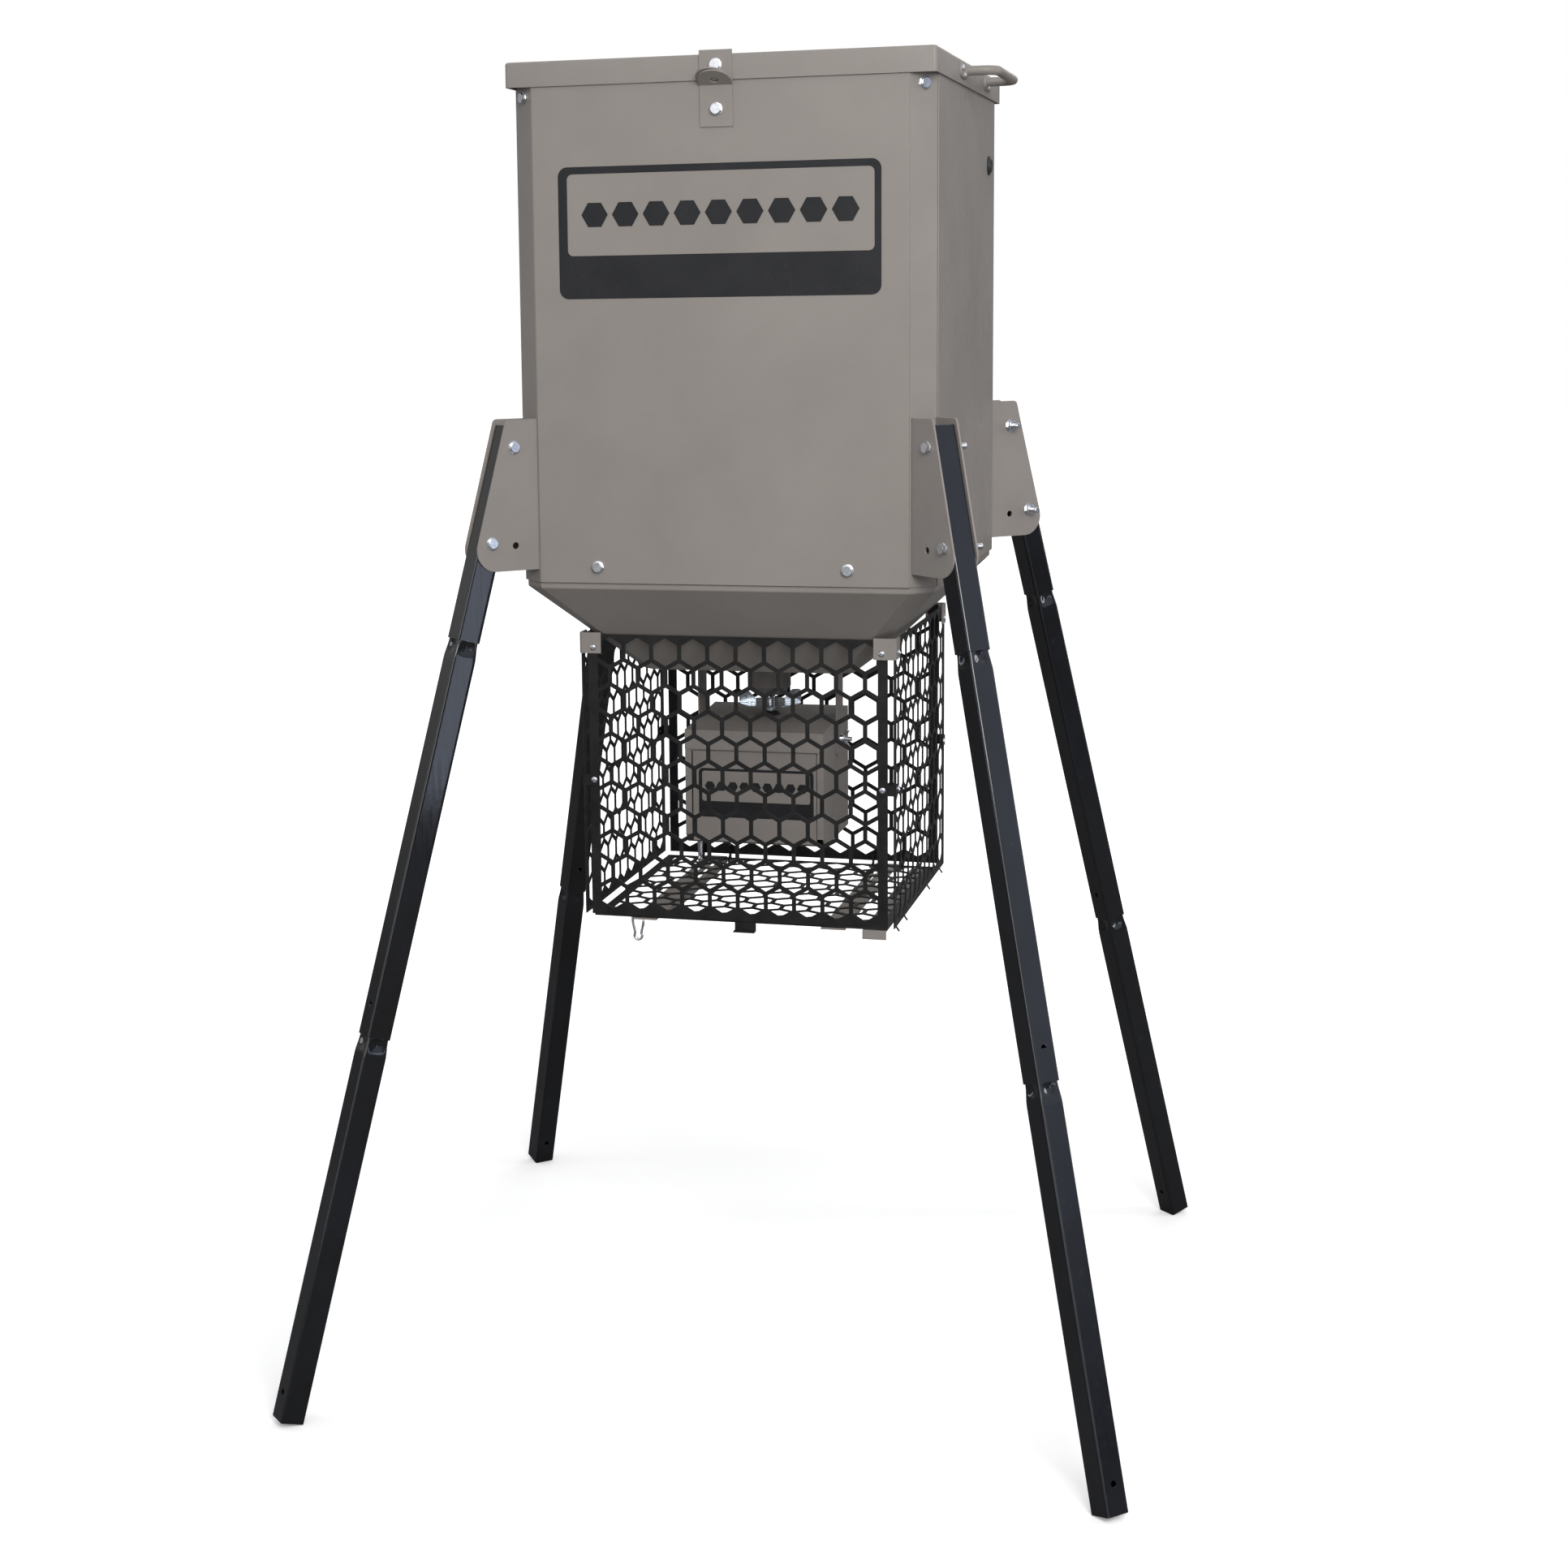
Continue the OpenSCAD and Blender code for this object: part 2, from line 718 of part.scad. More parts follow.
// One screw in each leg of a corner clip
module clip_screws(t, hole_in, hole_z) {
    translate([cage_side_x - hole_in, -cage_front_y - t, hole_z]) rotate([90, 0, 0])
        pan_screw(cage_screw_r, t - 0.1);
    translate([cage_side_x + t, hole_in - cage_front_y, hole_z]) rotate([0, 90, 0])
        pan_screw(cage_screw_r, t - 0.1);
}

module cage_screws() {
    color(zinc) each_cage_corner() {
        clip_screws(top_clip_t, top_screw_in, cage_z - top_screw_drop);
        clip_screws(side_clip_t, side_screw_in, cage_z - side_screw_drop);
    }
}

module cage_floor() {
    w = 390;
    d = 372;
    front = 4 - cage_front_y;
    color(black) {
        difference() {
            translate([-w / 2, front, floor_top - floor_t]) mesh_sheet(w, d, 5, floor_t);
            // Clear of the snap hook's wire beside and through the left bar
            for (x = [-hook_x, -hook_x - hook_w])
                translate([x, hook_y, floor_top - 5]) cylinder(h = 10, r = hook_hole_r);
        }
        // Finger pull, bent down from the front edge
        translate([-5, front, floor_top - floor_t - 11]) cube([28, 1.6, 11.01]);
        translate([-5, front - 10, floor_top - floor_t - 11]) cube([28, 10.01, 1.6]);
    }
}

// Slotted bar under the floor, rolled round a hinge pin at its back end
module floor_bar() {
    front = -cage_front_y - 1;
    low = floor_top - floor_t - bar_t;
    roll = hinge_r + running + 2;
    difference() {
        union() {
            translate([-bar_w / 2, front, low]) cube([bar_w, hinge_y - front, bar_t]);
            translate([bar_w / 2 - bar_t, front + 60, low - 10])
                cube([bar_t, hinge_y - 84 - front, 10.01]);
            translate([-bar_w / 2, hinge_y, hinge_z]) rotate([0, 90, 0]) cylinder(h = bar_w, r = roll);
        }
        translate([-bar_w / 2 - 1, hinge_y, hinge_z]) rotate([0, 90, 0])
            cylinder(h = bar_w + 2, r = hinge_r + running);
        for (x = [-7, 7], y = [60, 100, 140])
            translate([x, y, low - 1]) linear_extrude(4) rounded_rect(6, 30, 2.9, 4);
        translate([bar_x - hook_x, hook_y, low - 1]) cylinder(h = 4, r = hook_hole_r);
    }
}

// Plain strip under the floor's right edge, its front end turned down
module floor_edge_strip() {
    w = 31;
    front = -cage_front_y - 1;
    low = floor_top - floor_t - bar_t;
    lip = 10;
    translate([edge_strip_x, front, low]) cube([w, hinge_y - 14 - front, bar_t]);
    translate([edge_strip_x, front, low - lip]) cube([w, bar_t, lip + 0.01]);
}

module floor_bars() {
    color(taupe) {
        translate([-bar_x, 0, 0]) floor_bar();
        translate([bar_x, 0, 0]) mirror([1, 0, 0]) floor_bar();
        floor_edge_strip();
    }
}

module hinge_pins() {
    color(zinc) {
        for (s = [-1, 1]) translate([s * bar_x - bar_w / 2 - 9, hinge_y, hinge_z]) rotate([0, 90, 0])
            cylinder(h = bar_w + 18, r = hinge_r);
        translate([-door_half - 6, door_pin_y, door_pin_z]) rotate([0, 90, 0])
            cylinder(h = 2 * door_half + 12, r = door_pin_r);
    }
}

// ---- Snap hooks ----

wire_r = 1.75;
hook_w = 14.4;
gate_r = 1.6;
gate_gap = 0.45;
// Both ends of the floor hook's open side, below the bar it hangs from
gap_top = -4.6;
gap_low = -13.4;

// Pear-shaped wire link hanging from z = 0: wide above, a waist and a small eye at the foot.
// The right-hand side is left open between the gap's ends when open_side is true.
module snap_link(length, corner, side_end, open_side) {
    r = hook_w / 2;
    eye = 5.2;
    waist = 4.4;
    eye_z = eye - length;
    top = concat(arc([r - corner, 0], corner, 0, 90, 8), arc([corner - r, 0], corner, 90, 180, 8));
    bend = side_end - 2.4;
    foot = concat(
        [[-r, side_end], [-r, bend], [-waist, eye_z + 7.5]], arc([0, eye_z], eye, 150, 390, 16),
        [[waist, eye_z + 7.5], [r, bend], [r, side_end]]
    );
    path = open_side ? concat([[r, gap_top]], top, foot) : concat(top, foot);
    swept_wire(path, wire_r, !open_side);
}

floor_hook_corner = 3.5;
floor_hook_at = [-hook_x - hook_w / 2, hook_y, floor_top + 0.3 + wire_r - floor_hook_corner];

module floor_snap_hook() {
    color(zinc) translate(floor_hook_at) snap_link(31.2, floor_hook_corner, gap_low, true);
}

// Straight wire gate with a ball end, closing the link's open side
module floor_hook_gate() {
    low = gap_low + gate_gap + gate_r;
    h = gap_top - gate_gap - low;
    color(zinc) translate(floor_hook_at) translate([hook_w / 2, 0, low]) rotate_extrude()
        polygon(concat(arc([0, 0], gate_r, -90, 0, 8), [[gate_r, h], [0, h]]));
}

box_hook_corner = 6.5;
box_hook_at = [-box_half - 10, 12, box_low - box_hook_corner];

module box_snap_hook() {
    color(zinc) translate(box_hook_at) rotate([0, 0, 90]) snap_link(44, box_hook_corner, -17, false);
}

// ---- Control box ----

module box_side_outline() {
    cut = 12;
    rise = box_top + roof_rise;
    polygon([
        [-box_front + cut, box_low], [-box_front, box_low + cut], [-box_front, box_top],
        [box_back, rise], [box_back, box_low]
    ]);
}

module control_box() {
    front_t = 1.5;
    color(taupe) difference() {
        union() {
            difference() {
                along_x(box_w) box_side_outline();
                // Hollow, open at the front
                along_x(box_w - 2 * box_t) polygon([
                    [-box_front - 1, box_low + box_t], [-box_front - 1, box_top - box_t],
                    [-box_front, box_top - box_t],
                    [box_back - box_t, box_top + roof_rise - box_t - 0.1],
                    [box_back - box_t, box_low + box_t]
                ]);
            }
            // Rain lip of the hood
            translate([-box_half, -box_front - front_t, box_top - lip_h])
                cube([box_w, front_t, lip_h + 0.2]);
            // Door posts on both sides of the opening
            for (s = [0, 1]) mirror([s, 0, 0])
                translate([door_half + 1.2, -box_front, box_low + 12])
                    cube([box_half - door_half - 1.2, front_t, box_h - 12]);
            // Ears that carry the door's pin
            for (s = [0, 1]) mirror([s, 0, 0]) translate([door_half + 1.2, 0, door_pin_z]) {
                translate([0, door_pin_y, 0]) rotate([0, 90, 0]) cylinder(h = 3, r = 5);
                translate([0, front_t / 2 - box_front, -5])
                    cube([3, door_pin_y + box_front - front_t / 2, 10]);
            }
        }
        translate([0, 0, roof_mid_z - 10]) cylinder(h = 20, r = 9);
        translate([-door_half - 6, door_pin_y, door_pin_z]) rotate([0, 90, 0])
            cylinder(h = 2 * door_half + 12, r = door_pin_r);
        for (s = [0, 1]) mirror([s, 0, 0]) translate([box_half - 5, 0, wing_z]) rotate([0, 90, 0])
            cylinder(h = 10, r = stud_r);
        translate([-box_half - 5, 12, box_low + 8]) rotate([0, 90, 0]) cylinder(h = 10, r = 2);
    }
}

// Carriage studs for the wing nuts, and the screw eye that holds the spare snap hook
module box_studs() {
    eye_r = 6;
    color(zinc) {
        for (s = [0, 1]) mirror([s, 0, 0]) {
            translate([box_half - box_t - 2.2, 0, wing_z]) rotate([0, 90, 0]) cylinder(h = 2.2, r = 6.5);
            translate([box_half - box_t - 0.01, 0, wing_z]) rotate([0, 90, 0])
                cylinder(h = 19.5, r = stud_r);
        }
        translate([-box_half - 10, 12, box_low + 8]) rotate([0, 90, 0]) cylinder(h = 12, r = 2);
        translate([-box_half - 10, 12, box_low + 2]) rotate([90, 0, 0])
            rotate_extrude() translate([eye_r, 0]) circle(1.6, $fn = 24);
    }
}

module motor() {
    top = roof_mid_z - box_t - 3;
    color(zinc) {
        translate([0, 0, top - 14]) difference() {
            union() {
                cylinder(h = 14, r = motor_r + 4);
                translate([-32, -9, 11]) cube([64, 18, 3]);
            }
            translate([0, 0, 1]) cylinder(h = 20, r = shaft_r + running);
            for (x = [-27, 27]) translate([x, 0, 8]) cylinder(h = 8, r = 2.2);
        }
        translate([0, 0, top - motor_h]) cylinder(h = motor_h - 14, r = motor_r);
        translate([0, 0, top - motor_h - 4]) cylinder(h = 4.01, r = 6);
    }
}

module motor_bushing() {
    color(black) translate([0, 0, roof_mid_z]) difference() {
        union() {
            translate([0, 0, 1.1]) cylinder(h = 4, r1 = 13, r2 = 9.5);
            translate([0, 0, -3.9]) cylinder(h = 6, r = 8.9);
        }
        translate([0, 0, -5]) cylinder(h = 12, r = shaft_r + running);
    }
}

battery_size = [96, 50, 70];

module battery() {
    color([0.15, 0.17, 0.2]) translate([-battery_size[0] / 2 - 30, 6, box_low + box_t]) {
        cube(battery_size);
        for (x = [18, 78]) translate([x - 3.2, 22, battery_size[2] - 0.01]) cube([6.4, 0.9, 7]);
    }
}

timer_w = 120;
timer_h = 74;
timer_d = 24;

module timer_module() {
    color(black) translate([0, timer_y, timer_z]) difference() {
        union() {
            translate([-timer_w / 2, 0, -timer_h / 2]) cube([timer_w, timer_d, timer_h]);
            // Feet down to the box's floor
            for (x = [-50, 38])
                translate([x, 4, box_low + box_t - timer_z])
                    cube([12, 16, timer_z - timer_h / 2 - box_low - box_t + 0.01]);
        }
        translate([-display_w / 2, -1, display_up]) cube([display_w, 3.5, display_h]);
        for (i = [-1, 0, 1]) translate([i * button_pitch, -1, -button_drop]) rotate([-90, 0, 0])
            cylinder(h = 8, r = button_r + 0.3);
    }
}

module timer_display() {
    color([0.45, 0.52, 0.45]) translate([-display_w / 2, timer_y + 0.4, timer_z + display_up])
        cube([display_w, 2.1, display_h]);
}

module button(i) {
    color([0.7, 0.2, 0.15]) translate([i * button_pitch, timer_y - 2.4, timer_z - button_drop])
        rotate([-90, 0, 0]) {
        cylinder(h = 6, r = button_r);
        translate([0, 0, -0.8]) cylinder(h = 0.81, r1 = button_r - 0.8, r2 = button_r);
    }
}

module set_button() { button(-1); }
module up_button() { button(0); }
module down_button() { button(1); }

module box_door() {
    t = 1.5;
    low = box_low + 4;
    color(taupe) difference() {
        union() {
            translate([-door_half, door_face_y, low]) cube([2 * door_half, t, door_pin_z - low]);
            translate([-door_half, door_pin_y, door_pin_z]) rotate([0, 90, 0])
                cylinder(h = 2 * door_half, r = door_pin_r + running + 1.8);
            // Turned-in lower edge
            translate([-door_half + 14, door_face_y, low - 0.01]) cube([2 * door_half - 28, 8, t]);
        }
        translate([-door_half - 1, door_pin_y, door_pin_z]) rotate([0, 90, 0])
            cylinder(h = 2 * door_half + 2, r = door_pin_r + running);
    }
}

module box_label() {
    cell = 14;
    color(black) translate([2, door_face_y, base_z - 297.5]) rotate([90, 0, 0])
        linear_extrude(0.4) union() {
            difference() {
                rounded_rect(156, 66, 6);
                translate([0, 9]) rounded_rect(147, 41, 3.5);
            }
            for (i = [-4 : 4]) translate([i * cell * 1.12, 9]) circle(cell / 2, $fn = 6);
        }
}

// Two-winged nut on a stud; x runs outward from the strap
module wing_nut() {
    difference() {
        union() {
            rotate([0, 90, 0]) cylinder(h = 7, r1 = 6.5, r2 = 5);
            for (s = [0, 1]) rotate([s * 180, 0, 0]) translate([2.2, -1.2, 3]) rotate([90, 0, 0])
                mirror([0, 0, 1]) linear_extrude(2.4)
                    polygon([[0, 0], [4.6, 0], [9, 8], [11.5, 14], [6, 14], [1, 8]]);
        }
        rotate([0, 90, 0]) translate([0, 0, -1]) cylinder(h = 20, r = stud_r + running);
    }
}

module right_wing_nut() {
    color(zinc) translate([box_half + strap_t + 0.3, 0, wing_z]) rotate([20, 0, 0]) wing_nut();
}

module left_wing_nut() {
    color(zinc) translate([-box_half - strap_t - 0.3, 0, wing_z]) mirror([1, 0, 0]) rotate([70, 0, 0])
        wing_nut();
}

// ---- Spinner ----

module motor_shaft() {
    low = roof_mid_z - box_t - 3 - 12.5;
    color(zinc) difference() {
        translate([0, 0, low]) cylinder(h = base_z - 184 - low, r = shaft_r);
        // Flat for the hub's set screw
        translate([shaft_r - 0.6, -shaft_r, base_z - 199.5]) cube([2, 2 * shaft_r, 20]);
    }
}

module spinner_plate() {
    z = base_z - 190;
    fin_h = 17;
    color(zinc) {
        difference() {
            union() {
                translate([0, 0, z]) cylinder(h = 1.5, r = spinner_r);
                translate([0, 0, z - 9.5]) cylinder(h = 9.6, r = 8);
                translate([4, 0, z - 5]) rotate([0, 90, 0]) cylinder(h = 7.5, r = 2.2);
            }
            translate([0, 0, z - 10]) cylinder(h = 12, r = shaft_r);
        }
        // Shaft flat filled by the set screw's tip
        translate([shaft_r - 0.6, -1.5, z - 6.5]) cube([3, 3, 3]);
        for (a = [20 : 90 : 290]) rotate([0, 0, a])
            translate([19.5, -0.75, z + 1.49]) rotate([90, 0, 0]) mirror([0, 0, 1]) linear_extrude(1.5)
                polygon([[0, 0], [22, 0], [24, fin_h - 3], [20, fin_h], [10.5, fin_h], [0, 5]]);
    }
}

// ---- Lid ----

module lid_pan() {
    color(taupe) difference() {
        translate([-lid_half, -lid_half, skirt_z]) cube([2 * lid_half, 2 * lid_half, skirt_h]);
        translate([lid_t - lid_half, lid_t - lid_half, skirt_z - 1])
            cube([2 * (lid_half - lid_t), 2 * (lid_half - lid_t), skirt_h - lid_t + 1]);
        for (s = [0, 1]) mirror([s, 0, 0]) for (p = handle_screw_points())
            translate([lid_half - 5, p[0], p[1]]) rotate([0, 90, 0]) cylinder(h = 8, r = 2.1);
        for (a = [0, 180]) side_of(a) translate([0, -lid_half - 5, skirt_z + lid_hasp_bolt_up])
            rotate([-90, 0, 0]) cylinder(h = 8, r = 3.1);
    }
}

function handle_screw_points() = [
    for (s = [-1, 1], e = [0, 1])
        [handle_shift + s * (handle_span / 2 + 17 + 15 * e), skirt_z + 15.5 + (e == 0 ? -4 : 4)]
];

// Bent rod with a flattened foot at each end
module lid_handles() {
    r = handle_rod_d / 2;
    bend = 18;
    z = skirt_z + 18;
    half = handle_span / 2;
    reach = handle_reach;
    color(taupe) for (m = [0, 1]) mirror([m, 0, 0]) translate([lid_half, handle_shift, 0]) {
        translate([0, 0, z]) for (s = [0, 1]) mirror([0, s, 0]) {
            translate([0.5, half, 0]) rotate([0, 90, 0]) cylinder(h = reach - bend - 0.5, r = r);
            translate([reach - bend, half - bend, 0]) rotate_extrude(angle = 90) translate([bend, 0])
                circle(r, $fn = 40);
        }
        translate([reach, bend - half, z]) rotate([-90, 0, 0]) cylinder(h = 2 * (half - bend), r = r);
        for (s = [0, 1]) mirror([0, s, 0]) difference() {
            translate([0, half - 9, z - 10.5]) rotate([90, 0, 90]) linear_extrude(2.6)
                translate([25, 9]) rounded_rect(50, 20, 8);
            for (p = handle_screw_points()) translate([-1, abs(p[0] - handle_shift), p[1]])
                rotate([0, 90, 0]) cylinder(h = 6, r = 2.1);
        }
    }
}

module lid_screws() {
    color(zinc) {
        for (m = [0, 1]) mirror([m, 0, 0]) for (p = handle_screw_points())
            translate([lid_half + 2.6, p[0], p[1]]) rotate([0, 90, 0]) pan_screw(2, 3.9);
        for (a = [0, 180]) side_of(a) translate([0, -lid_half - hasp_t, skirt_z + lid_hasp_bolt_up])
            rotate([90, 0, 0]) hex_bolt(3, hex_af, hex_head_h, 3.3);
    }
}

module lid_hasps() {
    shift = 3;
    color(taupe) for (a = [0, 180]) side_of(a) difference() {
        translate([0, -lid_half - hasp_t, lid_tab_z]) union() {
            translate([-hasp_w / 2, 0, 0]) cube([hasp_w, hasp_t, 37]);
            translate([-shift, 0, 0]) padlock_tab(hasp_reach - tab_lead, [shift, tab_lead - padlock_out]);
        }
        translate([0, -lid_half - 5, skirt_z + lid_hasp_bolt_up]) rotate([-90, 0, 0])
            cylinder(h = 8, r = 3.1);
    }
}

front_panel();
back_panel();
left_panel();
right_panel();
corner_posts();
panel_bolts();
side_plug();
front_label();
funnel_front();
funnel_back();
funnel_left();
funnel_right();
funnel_corners();
funnel_floor();
spout();
front_left_bracket();
front_right_bracket();
back_left_bracket();
back_right_bracket();
leg_bolts();
leg_nuts();
upper_legs();
middle_legs();
lower_legs();
body_hasps();
cage_front();
cage_back();
cage_left();
cage_right();
cage_top_clips();
cage_side_clips();
cage_screws();
hanger_straps();
hinge_pins();
control_box();
box_studs();
motor();
motor_bushing();
battery();
timer_module();
timer_display();
box_door();
box_label();
lid_pan();
lid_handles();
lid_screws();
lid_hasps();
motor_shaft();
spinner_plate();
cage_floor();
floor_bars();
floor_snap_hook();
floor_hook_gate();
box_snap_hook();
left_wing_nut();
right_wing_nut();
set_button();
up_button();
down_button();
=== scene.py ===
import json
import math

import bmesh
import bpy
from mathutils import Matrix, Vector


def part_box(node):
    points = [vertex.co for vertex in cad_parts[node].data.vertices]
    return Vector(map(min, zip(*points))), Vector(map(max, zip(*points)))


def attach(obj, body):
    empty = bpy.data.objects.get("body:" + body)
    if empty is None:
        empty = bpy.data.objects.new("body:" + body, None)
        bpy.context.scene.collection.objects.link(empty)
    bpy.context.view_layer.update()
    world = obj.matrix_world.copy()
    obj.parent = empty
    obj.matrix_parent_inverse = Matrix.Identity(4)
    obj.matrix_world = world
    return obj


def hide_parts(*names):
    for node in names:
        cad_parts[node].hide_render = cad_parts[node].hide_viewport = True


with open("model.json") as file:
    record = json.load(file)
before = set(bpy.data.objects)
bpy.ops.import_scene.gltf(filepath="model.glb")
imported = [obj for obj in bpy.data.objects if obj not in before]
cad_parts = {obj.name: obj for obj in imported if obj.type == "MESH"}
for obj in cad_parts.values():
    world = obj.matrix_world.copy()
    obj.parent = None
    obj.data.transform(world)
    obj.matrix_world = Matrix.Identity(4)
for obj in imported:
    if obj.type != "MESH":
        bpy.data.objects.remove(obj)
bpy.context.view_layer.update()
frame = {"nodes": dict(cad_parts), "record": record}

MM = 0.001
NODES = frame["nodes"]
NODE_BODY = {n: body for body, ns in frame["record"]["behaviour"]["bodies"].items() for n in ns}
SLOT_OF = {s["node"]: s["material_slot"] for s in frame["record"]["subparts"]}

# ---- Driving sizes, read from the frame where it holds them ----
HALF_W = -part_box("front_panel")[0].y
BASE_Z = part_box("front_panel")[0].z
SEAM_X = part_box("front_panel")[1].x
SKIRT_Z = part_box("lid_pan")[0].z
LID_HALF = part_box("lid_pan")[1].x
LID_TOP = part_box("lid_pan")[1].z
CORNER_CUT = HALF_W - SEAM_X
FACE_D = (2 * HALF_W - CORNER_CUT) / math.sqrt(2)
SHEET_T = 1.6 * MM
FLOOR_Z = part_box("funnel_floor")[0].z
CAGE_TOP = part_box("cage_front")[1].z

# Legs
SPLAY = math.radians(15.6)
TUBE_HALF = 15.875 * MM
TUBE_T = 1.5 * MM
INSERT_HALF = 14.125 * MM
INSERT_LEN = 39.8 * MM
CRIMP_LEN = 26 * MM
JOINT_1, JOINT_2, LEG_END = 251 * MM, 765 * MM, 1264.5 * MM
TOP_BOLT = (33 * MM, 172 * MM)
BOLT_PITCH = 124 * MM
BRACKET_OUT = (TUBE_HALF / MM + 0.22 + 2.5) * MM
CORNERS = (45, 135, 225, 315)
CORNER_R = 2.6 * MM

# Fasteners and wire
HEX_AF = 12.7 * MM
HEAD_H = 5.2 * MM
PANEL_BOLT_R, PANEL_BOLT_LENGTH = 4 * MM, 9 * MM
LID_BOLT_R, LID_BOLT_LENGTH = 3 * MM, 3.3 * MM
STUD_R, STUD_LENGTH = 3 * MM, 7.5 * MM
LEG_BOLT_R = 3.97 * MM
SCREW_R = 2 * MM
WIRE_R = 1.75 * MM
# Radius that closes a lathe's profile on its axis
TIP = 0.01 * MM


# ---- Mesh helpers ----

def new_object(name, mesh):
    obj = bpy.data.objects.new(name, mesh)
    bpy.context.scene.collection.objects.link(obj)
    return obj


def from_bmesh(name, bm, smooth_angle=35):
    """Turns a bmesh into an object with outward normals, smooth except across sharp edges."""
    bmesh.ops.remove_doubles(bm, verts=bm.verts, dist=0.002 * MM)
    bmesh.ops.recalc_face_normals(bm, faces=bm.faces)
    mesh = bpy.data.meshes.new(name)
    bm.to_mesh(mesh)
    bm.free()
    mesh.polygons.foreach_set("use_smooth", [True] * len(mesh.polygons))
    mesh.set_sharp_from_angle(angle=math.radians(smooth_angle))
    return new_object(name, mesh)


def add_rings(bm, rings, loop=False):
    """Joins rings of points into a skin. A loop closes the last ring on the first."""
    made = [[bm.verts.new(p) for p in ring] for ring in rings]
    n = len(made[0])
    pairs = list(zip(made, made[1:])) + ([(made[-1], made[0])] if loop else [])
    for a, b in pairs:
        for i in range(n):
            j = (i + 1) % n
            bm.faces.new((a[i], a[j], b[j], b[i]))
    if not loop:
        bm.faces.new(made[0])
        bm.faces.new(list(reversed(made[-1])))


def lathe(bm, matrix, profile, steps=40, loop=False):
    """Revolves (radius, height) points about the matrix's Z axis. A loop is a closed outline."""
    angles = [2 * math.pi * k / steps for k in range(steps)]
    rings = [[matrix @ Vector((r * math.cos(a), r * math.sin(a), z)) for a in angles] for r, z in profile]
    add_rings(bm, rings, loop)


def arc(cx, cy, r, a0, a1, steps):
    """Points on an arc in degrees, as (x, y)."""
    return [
        (cx + r * math.cos(math.radians(a0 + (a1 - a0) * i / steps)),
         cy + r * math.sin(math.radians(a0 + (a1 - a0) * i / steps)))
        for i in range(steps + 1)
    ]


def tube_along(bm, points, radius, sides=16, closed=False):
    """Round wire along points, carried without twist."""
    n = len(points)
    rings = []
    side = None
    for i, p in enumerate(points):
        before = points[(i - 1) % n] if closed or i else points[0]
        after = points[(i + 1) % n] if closed or i < n - 1 else points[-1]
        along = (after - before).normalized()
        if side is None:
            side = along.orthogonal().normalized()
        side = (side - along * side.dot(along)).normalized()
        up = along.cross(side)
        rings.append([
            p + radius * (math.cos(2 * math.pi * k / sides) * side + math.sin(2 * math.pi * k / sides) * up)
            for k in range(sides)
        ])
    add_rings(bm, rings, loop=closed)


def square_ring(half, corner, z, pinch=0.0):
    """Rounded square ring at height z; pinch presses the middle of each face in."""
    pts = []
    for quarter in range(4):
        turn = Matrix.Rotation(math.pi / 2 * quarter, 2)
        flat = half - corner
        face = [(half - pinch * math.cos(math.pi / 2 * t) ** 2, flat * t) for t in
                (-1, -0.8, -0.6, -0.4, -0.2, 0, 0.2, 0.4, 0.6, 0.8)]
        for x, y in face + arc(flat, flat, corner, 0, 75, 5):
            v = turn @ Vector((x, y))
            pts.append(Vector((v.x, v.y, z)))
    return pts


def stand_in(obj, node):
    """The piece stands for a CAD node, rides on its body and takes its material slot."""
    obj.data.materials.clear()
    obj.data.materials.append(MATERIALS[SLOT_OF[node]])
    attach(obj, NODE_BODY[node])
    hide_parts(node)


def soften(obj, edge, angle=30):
    """Rounds the sharp edges so that they catch the light, and keeps the flat faces flat."""
    bevel = obj.modifiers.new("edge", "BEVEL")
    bevel.width = edge
    bevel.segments = 2
    bevel.limit_method = "ANGLE"
    bevel.angle_limit = math.radians(angle)
    normals = obj.modifiers.new("normals", "WEIGHTED_NORMAL")
    normals.weight = 100
    return obj


def refine(node, edge, angle=30):
    """A copy of a CAD node with whole flat faces and rounded edges that catch the light."""
    bm = bmesh.new()
    bm.from_mesh(NODES[node].data)
    bmesh.ops.remove_doubles(bm, verts=bm.verts, dist=0.004 * MM)
    if node not in ("lid_hasps", "body_hasps"):
        bmesh.ops.dissolve_limit(bm, angle_limit=math.radians(0.6), verts=bm.verts, edges=bm.edges)
    stand_in(soften(from_bmesh(node + "_piece", bm, angle), edge, angle), node)


# ---- Materials ----

